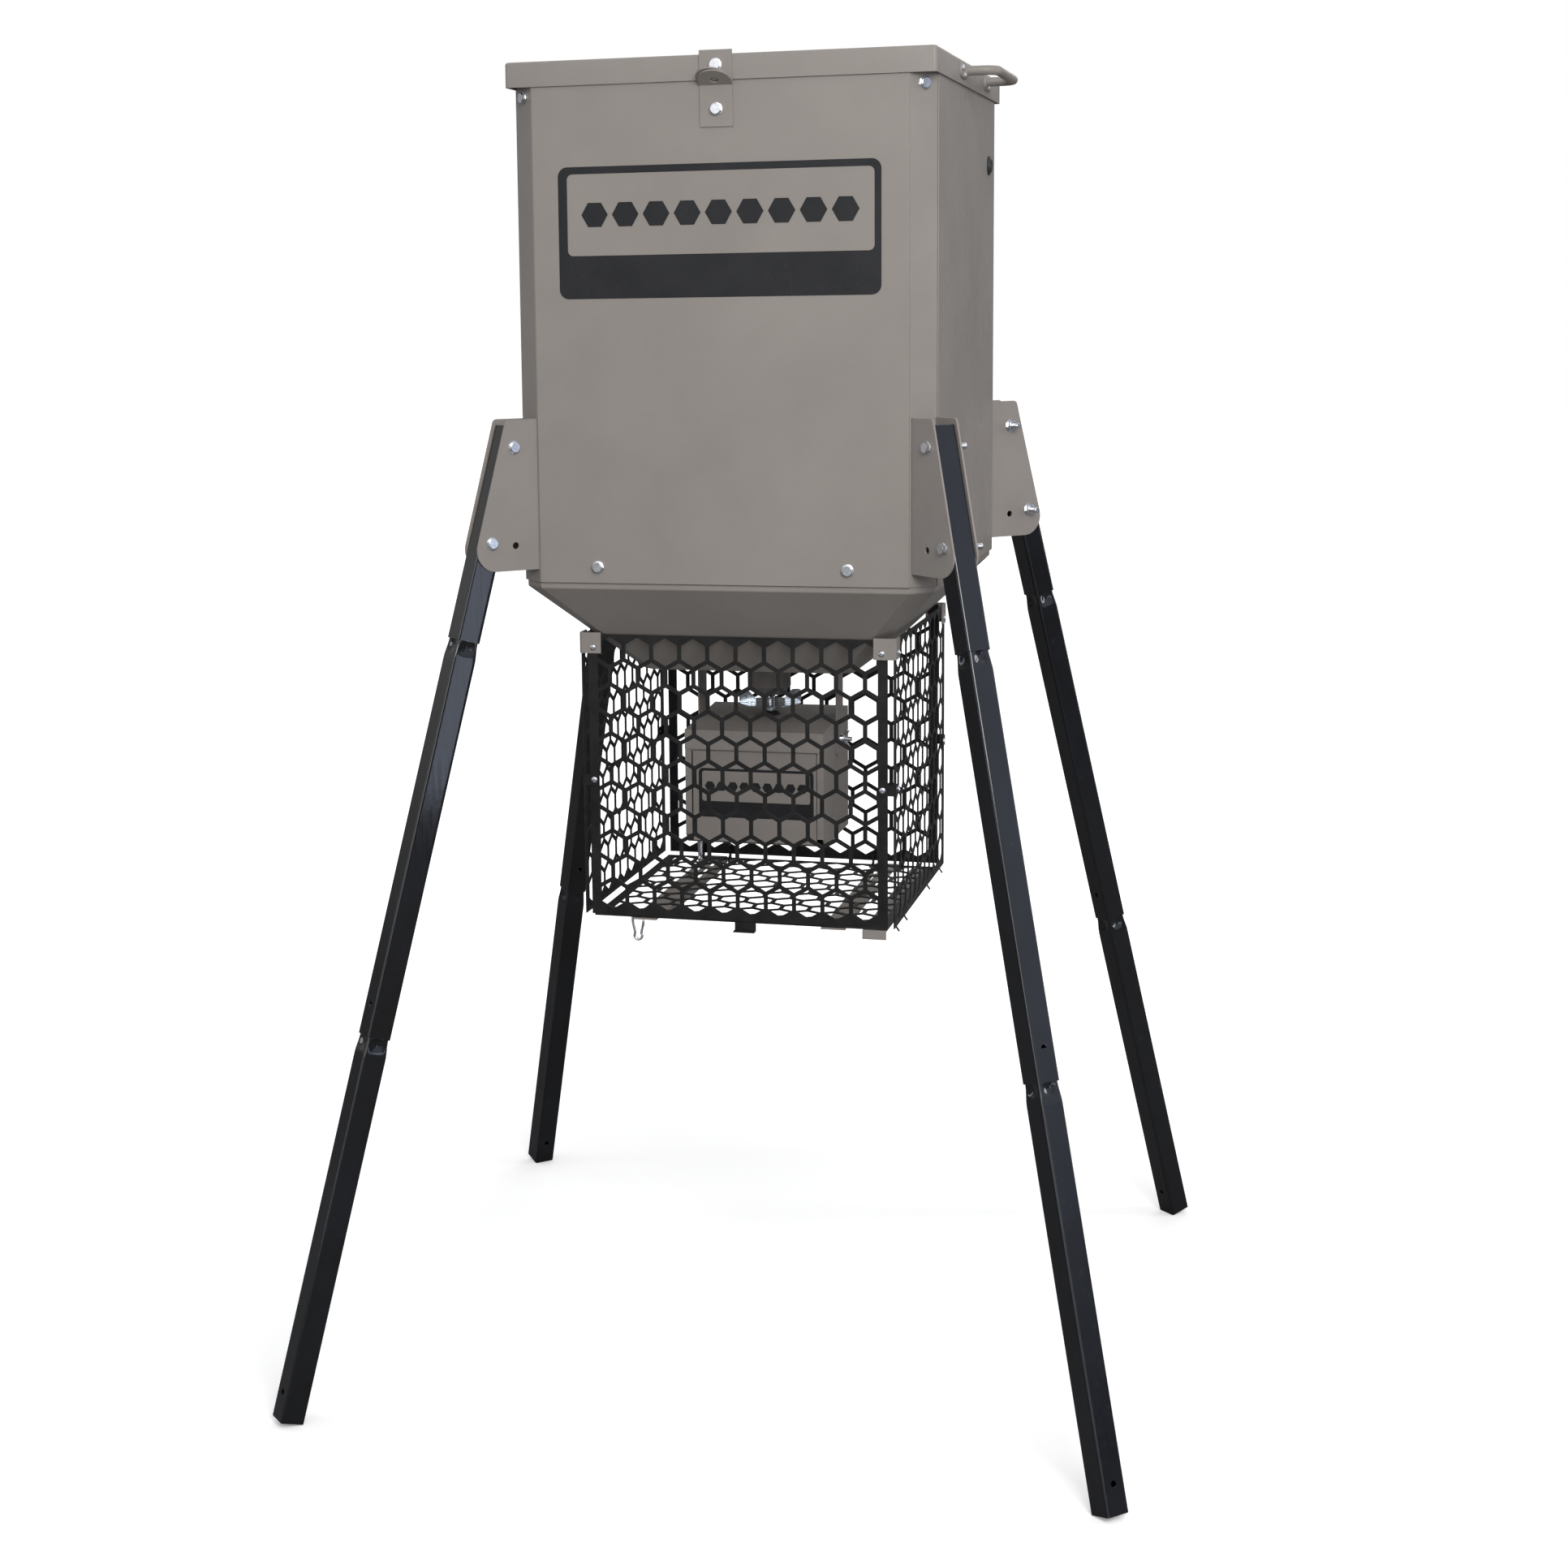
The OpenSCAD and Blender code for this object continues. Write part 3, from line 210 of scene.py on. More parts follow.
class Graph:
    """Shortcuts for building a node tree."""

    def __init__(self, tree):
        self.tree = tree

    def node(self, kind, **inputs):
        made = self.tree.nodes.new(kind)
        for key, value in inputs.items():
            made.inputs[key].default_value = value
        return made

    def link(self, a, b):
        self.tree.links.new(a, b)

    def feed(self, value, socket):
        """Sets a number or a colour on a socket, or links another socket to it."""
        if isinstance(value, (int, float)):
            socket.default_value = value
        elif isinstance(value, tuple):
            socket.default_value = (*value, 1)
        else:
            self.link(value, socket)

    def ramp(self, value, low, high, a=0.0, b=1.0):
        made = self.node("ShaderNodeMapRange")
        made.inputs["From Min"].default_value = low
        made.inputs["From Max"].default_value = high
        made.inputs["To Min"].default_value = a
        made.inputs["To Max"].default_value = b
        self.link(value, made.inputs["Value"])
        return made.outputs["Result"]

    def math(self, kind, a, b):
        made = self.node("ShaderNodeMath")
        made.operation = kind
        self.feed(a, made.inputs[0])
        self.feed(b, made.inputs[1])
        return made.outputs[0]

    def mix(self, factor, a, b):
        """Blends two colours."""
        made = self.node("ShaderNodeMix")
        made.data_type = "RGBA"
        for value, socket in ((factor, made.inputs[0]), (a, made.inputs[6]), (b, made.inputs[7])):
            self.feed(value, socket)
        return made.outputs[2]

    def choose(self, flag, no, yes):
        """Blends two numbers."""
        made = self.node("ShaderNodeMix")
        for value, socket in ((flag, made.inputs[0]), (no, made.inputs[2]), (yes, made.inputs[3])):
            self.feed(value, socket)
        return made.outputs[0]


class Paint(Graph):
    """One node material."""

    def __init__(self, name):
        self.material = bpy.data.materials.new(name)
        self.material.use_nodes = True
        super().__init__(self.material.node_tree)
        self.shader = self.tree.nodes["Principled BSDF"]
        self.coords = self.node("ShaderNodeTexCoord").outputs["Object"]

    def stretched(self, scale):
        mapping = self.node("ShaderNodeMapping")
        mapping.inputs["Scale"].default_value = scale
        self.link(self.coords, mapping.inputs["Vector"])
        return mapping.outputs["Vector"]

    def noise(self, scale, detail=3, rough=0.6, coords=None):
        made = self.node("ShaderNodeTexNoise", Scale=scale, Detail=detail, Roughness=rough)
        self.link(coords or self.coords, made.inputs["Vector"])
        return made.outputs["Fac"]

    def edges(self, radius):
        """1 on sharp edges, 0 on faces."""
        bevel = self.node("ShaderNodeBevel", Radius=radius)
        bevel.samples = 4
        geometry = self.node("ShaderNodeNewGeometry")
        dot = self.node("ShaderNodeVectorMath")
        dot.operation = "DOT_PRODUCT"
        self.link(bevel.outputs["Normal"], dot.inputs[0])
        self.link(geometry.outputs["Normal"], dot.inputs[1])
        return self.ramp(dot.outputs["Value"], 0.995, 0.86)

    def bump(self, *heights):
        """Chains (height, strength, distance) bumps."""
        normal = None
        for height, strength, distance in heights:
            made = self.node("ShaderNodeBump", Strength=strength, Distance=distance)
            self.link(height, made.inputs["Height"])
            if normal:
                self.link(normal, made.inputs["Normal"])
            normal = made.outputs["Normal"]
        self.link(normal, self.shader.inputs["Normal"])

    def colour(self, socket):
        self.link(socket, self.shader.inputs["Base Color"])

    def roughness(self, socket):
        self.link(socket, self.shader.inputs["Roughness"])

    def metallic(self, value):
        self.feed(value, self.shader.inputs["Metallic"])


def tinted(rgb, k):
    return tuple(c * k for c in rgb)


def powder_coat(name, rgb, rough, wear=0.35):
    """Semi-matte powder coat: orange peel, faint cloudiness, dust and thin rubbed edges."""
    p = Paint(name)
    clouds = p.noise(7, 4)
    grain = p.noise(900, 2)
    base = p.mix(p.ramp(clouds, 0.35, 0.65), tinted(rgb, 0.94), tinted(rgb, 1.05))
    base = p.mix(p.ramp(grain, 0.35, 0.7, 0, 0.22), base, tinted(rgb, 1.25))
    rubbed = p.math("MULTIPLY", p.edges(0.7 * MM), p.ramp(p.noise(160, 4), 0.42, 0.68, 0, wear))
    base = p.mix(rubbed, base, tinted(rgb, 1.75))
    p.colour(base)
    p.roughness(p.ramp(p.noise(45, 4), 0.3, 0.7, rough - 0.05, rough + 0.08))
    p.bump((p.noise(520, 2), 0.12, 0.10 * MM), (grain, 0.10, 0.05 * MM))
    p.shader.inputs["Specular IOR Level"].default_value = 0.45
    return p.material


def gloss_enamel(name):
    """Gloss black tube: long drawing lines, scuffs and bright bare corners."""
    p = Paint(name)
    lines = p.noise(1, 3, coords=p.stretched((420, 420, 14)))
    scuffs = p.ramp(p.noise(60, 6, 0.75), 0.60, 0.78)
    flecks = p.ramp(p.noise(420, 3), 0.74, 0.82)
    black = p.mix(p.ramp(p.noise(9, 3), 0.3, 0.7), (0.004, 0.004, 0.005), (0.008, 0.009, 0.012))
    black = p.mix(p.math("MULTIPLY", scuffs, 0.18), black, (0.09, 0.095, 0.11))
    wear = p.math("MULTIPLY", p.edges(0.8 * MM), p.ramp(p.noise(90, 5, 0.7), 0.50, 0.62))
    wear = p.math("MAXIMUM", wear, p.math("MULTIPLY", flecks, 0.3))
    p.colour(p.mix(wear, black, (0.42, 0.43, 0.45)))
    p.metallic(p.math("MULTIPLY", wear, 0.9))
    rough = p.math("ADD", p.ramp(lines, 0.3, 0.7, 0.05, 0.15), p.math("MULTIPLY", scuffs, 0.16))
    p.roughness(rough)
    p.bump((lines, 0.08, 0.05 * MM), (p.noise(26, 3), 0.22, 0.5 * MM))
    p.shader.inputs["Specular IOR Level"].default_value = 0.62
    return p.material


def satin_black(name):
    """Satin black coat over punched sheet, thin on the cut edges."""
    p = Paint(name)
    grain = p.noise(700, 2)
    base = p.mix(p.ramp(p.noise(22, 4), 0.3, 0.7), (0.006, 0.006, 0.0065), (0.014, 0.0135, 0.0135))
    rubbed = p.math("MULTIPLY", p.edges(0.5 * MM), p.ramp(p.noise(130, 4, 0.7), 0.50, 0.66, 0, 0.55))
    p.colour(p.mix(rubbed, base, (0.16, 0.155, 0.15)))
    p.roughness(p.ramp(p.noise(55, 4), 0.3, 0.7, 0.28, 0.46))
    p.bump((grain, 0.2, 0.06 * MM), (p.noise(120, 3), 0.15, 0.15 * MM))
    p.shader.inputs["Specular IOR Level"].default_value = 0.3
    return p.material


def plated_steel(name, rgb, rough, blue=0.0):
    """Zinc plate: bright metal with a cloudy tint, fine scratches and dull hollows."""
    p = Paint(name)
    tint = p.ramp(p.noise(130, 4, 0.65), 0.35, 0.68)
    warm = tinted(rgb, 0.80)
    cold = (rgb[0] * (1 - blue), rgb[1], min(1.0, rgb[2] * (1 + blue)))
    p.colour(p.mix(tint, warm, cold))
    p.metallic(1.0)
    scratch = p.noise(1, 4, 0.7, coords=p.stretched((2600, 500, 2600)))
    p.roughness(p.math("ADD", p.ramp(scratch, 0.3, 0.75, rough - 0.07, rough + 0.12),
                       p.ramp(p.noise(300, 3), 0.5, 0.8, 0, 0.14)))
    p.bump((scratch, 0.12, 0.03 * MM), (p.noise(420, 3), 0.12, 0.08 * MM))
    return p.material


def galvanised_sheet(name):
    """Bright zinc-dipped sheet: faint crystals a few millimetres across and a bluish sheen."""
    p = Paint(name)
    cells = p.node("ShaderNodeTexVoronoi", Scale=170.0)
    ripple = p.node("ShaderNodeTexNoise", Scale=260.0, Detail=3.0)
    p.link(p.coords, ripple.inputs["Vector"])
    p.link(p.mix(0.012, p.coords, ripple.outputs["Color"]), cells.inputs["Vector"])
    split = p.node("ShaderNodeSeparateColor")
    p.link(cells.outputs["Color"], split.inputs[0])
    p.colour(p.mix(split.outputs[0], (0.47, 0.51, 0.56), (0.60, 0.64, 0.69)))
    p.metallic(1.0)
    p.roughness(p.ramp(split.outputs[1], 0, 1, 0.14, 0.26))
    p.bump((p.noise(60, 2), 0.04, 0.3 * MM))
    return p.material


def drawn_steel(name):
    p = Paint(name)
    lines = p.noise(1, 3, coords=p.stretched((120, 120, 2200)))
    p.colour(p.mix(p.ramp(lines, 0.3, 0.7), (0.55, 0.55, 0.56), (0.74, 0.74, 0.75)))
    p.metallic(1.0)
    p.roughness(p.ramp(p.noise(200, 4), 0.3, 0.7, 0.25, 0.42))
    p.bump((lines, 0.15, 0.03 * MM))
    return p.material


def moulded(name, rgb, rough, grain_scale=1400, spread=0.25):
    """Moulded rubber or plastic with a fine spark grain and rubbed corners."""
    p = Paint(name)
    grain = p.noise(grain_scale, 2)
    base = p.mix(p.ramp(p.noise(60, 4), 0.3, 0.7), tinted(rgb, 1 - spread), tinted(rgb, 1 + spread))
    rubbed = p.math("MULTIPLY", p.edges(0.5 * MM), p.ramp(p.noise(220, 3), 0.45, 0.7, 0, 0.4))
    p.colour(p.mix(rubbed, base, tuple(c * 1.6 + 0.03 for c in rgb)))
    p.roughness(p.ramp(p.noise(90, 4), 0.3, 0.7, rough - 0.07, rough + 0.1))
    p.bump((grain, 0.25, 0.05 * MM), (p.noise(200, 3), 0.12, 0.1 * MM))
    return p.material


def printed_ink(name):
    """Black screen print that has rubbed thin in fine flecks."""
    p = Paint(name)
    worn = p.math("MULTIPLY", p.ramp(p.noise(1100, 4, 0.75), 0.58, 0.72), p.ramp(p.noise(14, 3), 0.40, 0.65))
    black = p.mix(p.ramp(p.noise(18, 3), 0.3, 0.7), (0.009, 0.0095, 0.011), (0.015, 0.0155, 0.018))
    p.colour(p.mix(p.math("MULTIPLY", worn, 0.5), black, (0.14, 0.13, 0.12)))
    p.roughness(p.ramp(p.noise(70, 4), 0.3, 0.7, 0.42, 0.58))
    p.bump((p.noise(520, 2), 0.2, 0.10 * MM))
    p.shader.inputs["Specular IOR Level"].default_value = 0.25
    return p.material


def display_window(name):
    """Grey-green display behind a clear window."""
    p = Paint(name)
    wave = p.node("ShaderNodeTexWave", Scale=330.0, Distortion=0.0)
    p.link(p.coords, wave.inputs["Vector"])
    p.colour(p.mix(p.ramp(wave.outputs["Fac"], 0, 1, 0, 0.12), (0.20, 0.25, 0.19), (0.10, 0.13, 0.10)))
    p.roughness(p.ramp(p.noise(140, 3), 0.3, 0.7, 0.06, 0.14))
    p.bump((p.noise(90, 2), 0.05, 0.1 * MM))
    return p.material


TAUPE = (0.245, 0.222, 0.204)
MATERIALS = {
    "taupe": powder_coat("taupe_powder_coat", TAUPE, 0.46),
    "leg_black": gloss_enamel("gloss_black_enamel"),
    "mesh_black": satin_black("satin_black_coat"),
    "zinc": plated_steel("zinc_plate", (0.80, 0.80, 0.82), 0.22, 0.05),
    "galvanised": galvanised_sheet("galvanised_sheet"),
    "motor_steel": drawn_steel("drawn_steel"),
    "rubber": moulded("black_rubber", (0.022, 0.022, 0.023), 0.55, 900),
    "label": printed_ink("black_print"),
    "plastic": moulded("grained_plastic", (0.045, 0.048, 0.053), 0.42),
    "display": display_window("display_window"),
    "button": moulded("red_rubber_key", (0.36, 0.045, 0.03), 0.5, 1100, 0.12),
}


def paint_cad_nodes():
    for name, obj in NODES.items():
        obj.data.materials.clear()
        obj.data.materials.append(MATERIALS[SLOT_OF[name]])


# ---- Placement, as the CAD has it ----

def turned(a):
    return Matrix.Rotation(math.radians(a), 4, "Z")


def corner_matrix(a):
    """Front and back corners mirror each other."""
    flip = -1 if a in (45, 225) else 1
    return turned(a) @ Matrix.Diagonal((1, flip, 1, 1))


def leg_matrix(a):
    """The leg's own frame: origin at its top bolt, -Z down the leg, X outward."""
    place = Matrix.Translation((FACE_D + TOP_BOLT[0], 0, BASE_Z + TOP_BOLT[1]))
    return corner_matrix(a) @ place @ Matrix.Rotation(-SPLAY, 4, "Y")


def rot(axis, degrees):
    return Matrix.Rotation(math.radians(degrees), 4, axis)


def at(x, y, z):
    return Matrix.Translation((x, y, z))


# ---- Legs ----

def cut_holes(obj, cutters):
    """Cuts round holes given as (matrix, radius, length)."""
    bm = bmesh.new()
    for matrix, r, length in cutters:
        lathe(bm, matrix, [(r, -length / 2), (r, length / 2)], 28)
    tool = from_bmesh("hole_cutter", bm)
    cut = obj.modifiers.new("holes", "BOOLEAN")
    cut.object = tool
    cut.solver = "EXACT"
    cut.operation = "DIFFERENCE"
    graph = bpy.context.evaluated_depsgraph_get()
    mesh = bpy.data.meshes.new_from_object(obj.evaluated_get(graph))
    obj.modifiers.clear()
    old = obj.data
    obj.data = mesh
    bpy.data.meshes.remove(old)
    bpy.data.objects.remove(tool)
    mesh.polygons.foreach_set("use_smooth", [True] * len(mesh.polygons))
    mesh.set_sharp_from_angle(angle=math.radians(35))


def tube_rings(stations):
    """Outer skin down and inner skin back up; each station is (s, half, corner, pinch)."""
    outer = [square_ring(half, corner, -s, pinch) for s, half, corner, pinch in stations]
    inner = [
        square_ring(half - TUBE_T, max(corner - TUBE_T, 0.5 * MM), -s, pinch)
        for s, half, corner, pinch in reversed(stations)
    ]
    return outer + inner


def cut_end(s, half, direction):
    """Two stations that round over a saw-cut end."""
    lip = 0.35 * MM
    return [(s, half - lip, CORNER_R, 0), (s - direction * lip, half, CORNER_R, 0)]


def upper_leg(bm, matrix):
    stations = cut_end(-24 * MM, TUBE_HALF, -1) + list(reversed(cut_end(JOINT_1, TUBE_HALF, 1)))
    add_rings(bm, [[matrix @ p for p in ring] for ring in tube_rings(stations)], loop=True)


def swaged_leg(bm, matrix, joint, end):
    """Section with a squeezed top: the neck below the joint is pressed in on each face."""
    stations = [(joint - INSERT_LEN, INSERT_HALF, CORNER_R, 0), (joint - 1 * MM, INSERT_HALF, CORNER_R, 0)]
    steps = 14
    for i in range(steps + 1):
        t = i / steps
        ease = t * t * (3 - 2 * t)
        half = INSERT_HALF + 0.15 * MM + (TUBE_HALF - INSERT_HALF - 0.15 * MM) * ease
        dent = 2.4 * MM * math.sin(math.pi * min(t * 1.25 + 0.12, 1.0)) ** 1.5
        stations.append((joint + 0.2 * MM + t * CRIMP_LEN, half, CORNER_R, dent))
    stations += list(reversed(cut_end(end, TUBE_HALF, 1)))
    add_rings(bm, [[matrix @ p for p in ring] for ring in tube_rings(stations)], loop=True)


def build_legs():
    hole_r = 3.75 * MM
    hole_up = 36 * MM
    wide = 3 * TUBE_HALF
    radial = rot("Y", 90)
    across = rot("X", 90)
    sections = {
        "upper_legs": (upper_leg, [], [(0, across), (BOLT_PITCH, across)], 4.3 * MM),
        "middle_legs": (swaged_leg, [JOINT_1, JOINT_2], [(JOINT_2 - hole_up - 5 * MM, radial)], hole_r),
        "lower_legs": (swaged_leg, [JOINT_2, LEG_END], [(LEG_END - hole_up, radial)], hole_r),
    }
    for node, (make, span, holes, r) in sections.items():
        bm = bmesh.new()
        cutters = []
        for a in CORNERS:
            place = leg_matrix(a)
            make(bm, place, *span)
            cutters += [(place @ at(0, 0, -s) @ way, r, wide) for s, way in holes]
        obj = from_bmesh(node + "_tube", bm)
        cut_holes(obj, cutters)
        stand_in(obj, node)


# ---- Bolts, nuts and screws ----

def hexagon(af, angle):
    """Distance from the middle of a hexagon to its edge, at an angle."""
    a = (angle + math.pi / 6) % (math.pi / 3) - math.pi / 6
    return af / 2 / math.cos(a)


def hex_head(bm, matrix, af, low, high, chamfers=(True, True), bore=0.0):
    """Hexagon with the curved chamfers that turning leaves on its corners."""
    steps = 48
    top_r = af / 2 * 0.93
    slope = math.tan(math.radians(30))
    turn = math.pi / 6
    profile = []
    for k in range(steps):
        angle = 2 * math.pi * k / steps
        r = hexagon(af, angle + turn)
        drop = (r - top_r) * slope
        ring = [(bore, low), (top_r if chamfers[0] else r, low), (r, low + (drop if chamfers[0] else 0)),
                (r, high - (drop if chamfers[1] else 0)), (top_r if chamfers[1] else r, high), (bore, high)]
        profile.append([matrix @ Vector((q * math.cos(angle), q * math.sin(angle), z)) for q, z in ring])
    rings = [[profile[k][i] for k in range(steps)] for i in range(6)]
    if bore:
        add_rings(bm, rings, loop=True)
    else:
        add_rings(bm, rings[1:5])


def threaded_rod(bm, matrix, r, start, end, pitch=1.25 * MM):
    """Shank from start down to end, with thread ridges and a chamfered tip."""
    depth = 0.32 * MM
    profile = [(TIP, start), (r, start)]
    z = start - pitch
    while z > end + pitch:
        profile += [(r, z + 0.55 * pitch), (r - depth, z + 0.3 * pitch), (r, z)]
        z -= pitch
    profile += [(r - 0.1 * MM, end + 0.6 * MM), (r - 0.8 * MM, end), (TIP, end)]
    lathe(bm, matrix, profile, 24)


def hex_bolt(bm, matrix, r, af, head_h, length):
    """Flanged hexagon bolt; its shank points down from the matrix's origin."""
    flange = af * 0.62
    lathe(bm, matrix, [(TIP, 0), (flange - 0.3 * MM, 0), (flange, 0.3 * MM), (flange - 0.1 * MM, 0.75 * MM),
                       (af * 0.5, 1.0 * MM), (TIP, 1.0 * MM)])
    hex_head(bm, matrix, af, 0.6 * MM, head_h, (False, True))
    threaded_rod(bm, matrix, r, 0.3 * MM, -length)


def pan_screw(bm, matrix, r, length):
    """Round-headed screw with a cross recess."""
    head = r * 2.1
    height = 2.2 * MM
    steps = 40
    fractions = (1.0, 0.97, 0.88, 0.74, 0.62, 0.55, 0.50, 0.36, 0.24, 0.12)
    angles = [2 * math.pi * k / steps for k in range(steps)]
    rings = [[matrix @ Vector((head * math.cos(a), head * math.sin(a), 0)) for a in angles]]
    for f in fractions:
        ring = []
        for a in angles:
            x, y = head * f * math.cos(a), head * f * math.sin(a)
            z = height * (1 - 0.72 * f ** 4)
            in_cross = f < 0.53 and min(abs(x), abs(y)) < head * 0.13
            ring.append(matrix @ Vector((x, y, z - (0.9 * MM if in_cross else 0))))
        rings.append(ring)
    add_rings(bm, rings)
    threaded_rod(bm, matrix, r, 0.2 * MM, -length, 0.8 * MM)


def washer(bm, matrix, outer, inner, thickness):
    """Washer with eased rims, standing up from the matrix's origin."""
    e = 0.25 * MM
    lathe(bm, matrix, [(inner, 0), (outer - e, 0), (outer, e), (outer, thickness - e),
                       (outer - e, thickness), (inner, thickness)], loop=True)


def build_fasteners():
    panel, leg, nuts, cage, lid = (bmesh.new() for _ in range(5))
    # Hopper
    hasp_t = 2 * MM
    panel_bolt = (PANEL_BOLT_R, HEX_AF, HEAD_H, PANEL_BOLT_LENGTH)
    for a in (0, 180):
        for x in (-160 * MM, 160 * MM):
            place = turned(a) @ at(x, -HALF_W, BASE_Z + 20 * MM)
            hex_bolt(panel, place @ rot("X", 90) @ rot("Z", 11 + x * 90), *panel_bolt)
        place = turned(a) @ at(0, -HALF_W - hasp_t, SKIRT_Z - 34.5 * MM)
        hex_bolt(panel, place @ rot("X", 90) @ rot("Z", 40), *panel_bolt)
        place = turned(a) @ at(0, -LID_HALF - hasp_t, SKIRT_Z + 17.5 * MM)
        hex_bolt(lid, place @ rot("X", 90) @ rot("Z", 20), LID_BOLT_R, HEX_AF, HEAD_H, LID_BOLT_LENGTH)
    for a in CORNERS:
        place = turned(a) @ at(FACE_D, 0, BASE_Z + 603 * MM)
        hex_bolt(panel, place @ rot("Y", 90) @ rot("Z", a / 3), *panel_bolt)
    # Control box straps
    for x in (-80 * MM, 80 * MM):
        for y in (-10 * MM, 10 * MM):
            hex_bolt(panel, at(x, y, FLOOR_Z - 2.2 * MM) @ rot("X", 180) @ rot("Z", 15 + y * 900),
                     STUD_R, 10 * MM, 3.6 * MM, STUD_LENGTH)
    # Legs
    washer_t, nut_bore = 1.2 * MM, 4 * MM
    for a in CORNERS:
        for s in (0, BOLT_PITCH):
            hex_bolt(leg, leg_matrix(a) @ at(0, -BRACKET_OUT, -s) @ rot("X", 90) @ rot("Z", 15),
                     LEG_BOLT_R, HEX_AF, HEAD_H + 0.1 * MM, 2 * BRACKET_OUT + 20 * MM)
            nut = leg_matrix(a) @ at(0, BRACKET_OUT, -s) @ rot("X", -90)
            washer(nuts, nut, 8.6 * MM, nut_bore, washer_t)
            hex_head(nuts, nut, HEX_AF, washer_t, washer_t + 6.5 * MM, bore=nut_bore)
    # Cage
    front_y = -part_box("cage_front")[0].y
    top_x, top_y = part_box("cage_top_clips")[1].x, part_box("cage_top_clips")[1].y
    low_x, low_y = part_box("cage_side_clips")[1].x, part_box("cage_side_clips")[1].y
    plain_x = top_x - 2 * MM
    for sx in (1, -1):
        for sy in (1, -1):
            spots = [
                (plain_x - 16.5 * MM, top_y, CAGE_TOP - 17 * MM, 1.9 * MM, True),
                (top_x, front_y - 16.5 * MM, CAGE_TOP - 17 * MM, 1.9 * MM, False),
                (plain_x - 15.5 * MM, low_y, CAGE_TOP - 192 * MM, 1.5 * MM, True),
                (low_x, front_y - 15.5 * MM, CAGE_TOP - 192 * MM, 1.5 * MM, False),
            ]
            for x, y, z, length, faces_y in spots:
                way = rot("X", -90 * sy) if faces_y else rot("Y", 90 * sx)
                pan_screw(cage, at(sx * x, sy * y, z) @ way @ rot("Z", x * 9000), SCREW_R, length)
    # Lid handles
    shift, span = 35 * MM, 174 * MM
    for sx in (1, -1):
        for s in (-1, 1):
            for e in (0, 1):
                y = shift + s * (span / 2 + 17 * MM + 15 * MM * e)
                z = SKIRT_Z + (15.5 + (4 if e else -4)) * MM
                place = at(sx * (LID_HALF + 2.6 * MM), y, z)
                pan_screw(lid, place @ rot("Y", 90 * sx) @ rot("Z", y * 3000), SCREW_R, 3.9 * MM)
    for node, bm in (("panel_bolts", panel), ("leg_bolts", leg), ("leg_nuts", nuts), ("cage_screws", cage),
                     ("lid_screws", lid)):
        stand_in(from_bmesh(node + "_turned", bm, 28), node)


# ---- Folded sheet and bent rod ----

def bezier(p0, p1, p2, p3, steps):
    """Points after p0 along a cubic curve in the plane."""
    out = []
    for i in range(1, steps + 1):
        t = i / steps
        k = ((1 - t) ** 3, 3 * t * (1 - t) ** 2, 3 * t * t * (1 - t), t ** 3)
        out.append(tuple(sum(w * q[d] for w, q in zip(k, (p0, p1, p2, p3))) for d in (0, 1)))
    return out


def rounded_path(corners, radii, steps=6):
    """Polyline through corners with each inner corner turned into an arc of the given radius."""
    out = [corners[0]]
    for before, at_corner, after, r in zip(corners, corners[1:], corners[2:], radii):
        c = Vector(at_corner)
        u, v = (Vector(before) - c).normalized(), (Vector(after) - c).normalized()
        half = u.angle(v) / 2
        cut = r / math.tan(half)
        middle = c + (u + v).normalized() * (r / math.sin(half))
        start, end = c + u * cut - middle, c + v * cut - middle
        for i in range(steps + 1):
            t = i / steps
            q = (start * (1 - t) + end * t).normalized() * r
            out.append(tuple(middle + q))
    return out + [corners[-1]]


def thick(path, t):
    """Closed outline of a sheet of thickness t lying to the left of the path."""
    normals = []
    for i in range(len(path)):
        a, b = Vector(path[max(i - 1, 0)]), Vector(path[min(i + 1, len(path) - 1)])
        d = (b - a).normalized()
        normals.append(Vector((-d.y, d.x)))
    back = [tuple(Vector(p) + n * t) for p, n in zip(path, normals)]
    return path + list(reversed(back))


def build_funnel():
    """Folded panels between planes through the hopper's axis, with a rolled bend under the band."""
    rim_half, floor_half = -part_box("funnel_front")[0].y, 140 * MM
    rim_cut = 2 * rim_half - (2 * HALF_W - CORNER_CUT - SHEET_T * math.sqrt(2) - 0.2 * MM)
    band_z, lap_z = BASE_Z - 8 * MM, BASE_Z + 35 * MM
    corner_d = (2 * rim_half - rim_cut) / math.sqrt(2)
    sides = [
        (node, a, rim_half, floor_half, (rim_half - rim_cut) / rim_half)
        for node, a in (("funnel_front", 0), ("funnel_back", 180), ("funnel_left", 270), ("funnel_right", 90))
    ]
    sides += [
        ("funnel_corners", a, corner_d, corner_d * floor_half / rim_half, rim_cut / math.sqrt(2) / corner_d)
        for a in CORNERS
    ]
    made = {}
    for node, a, rim, low, spread in sides:
        bm = made.setdefault(node, bmesh.new())
        outline = thick(rounded_path([(rim, lap_z), (rim, band_z), (low, FLOOR_Z)], [3.5 * MM]), -SHEET_T)
        rings = [[turned(a) @ Vector((k * spread * d, -d, z)) for d, z in outline] for k in (-1, 1)]
        add_rings(bm, rings)
    for node, bm in made.items():
        stand_in(soften(from_bmesh(node + "_fold", bm, 20), 0.3 * MM), node)


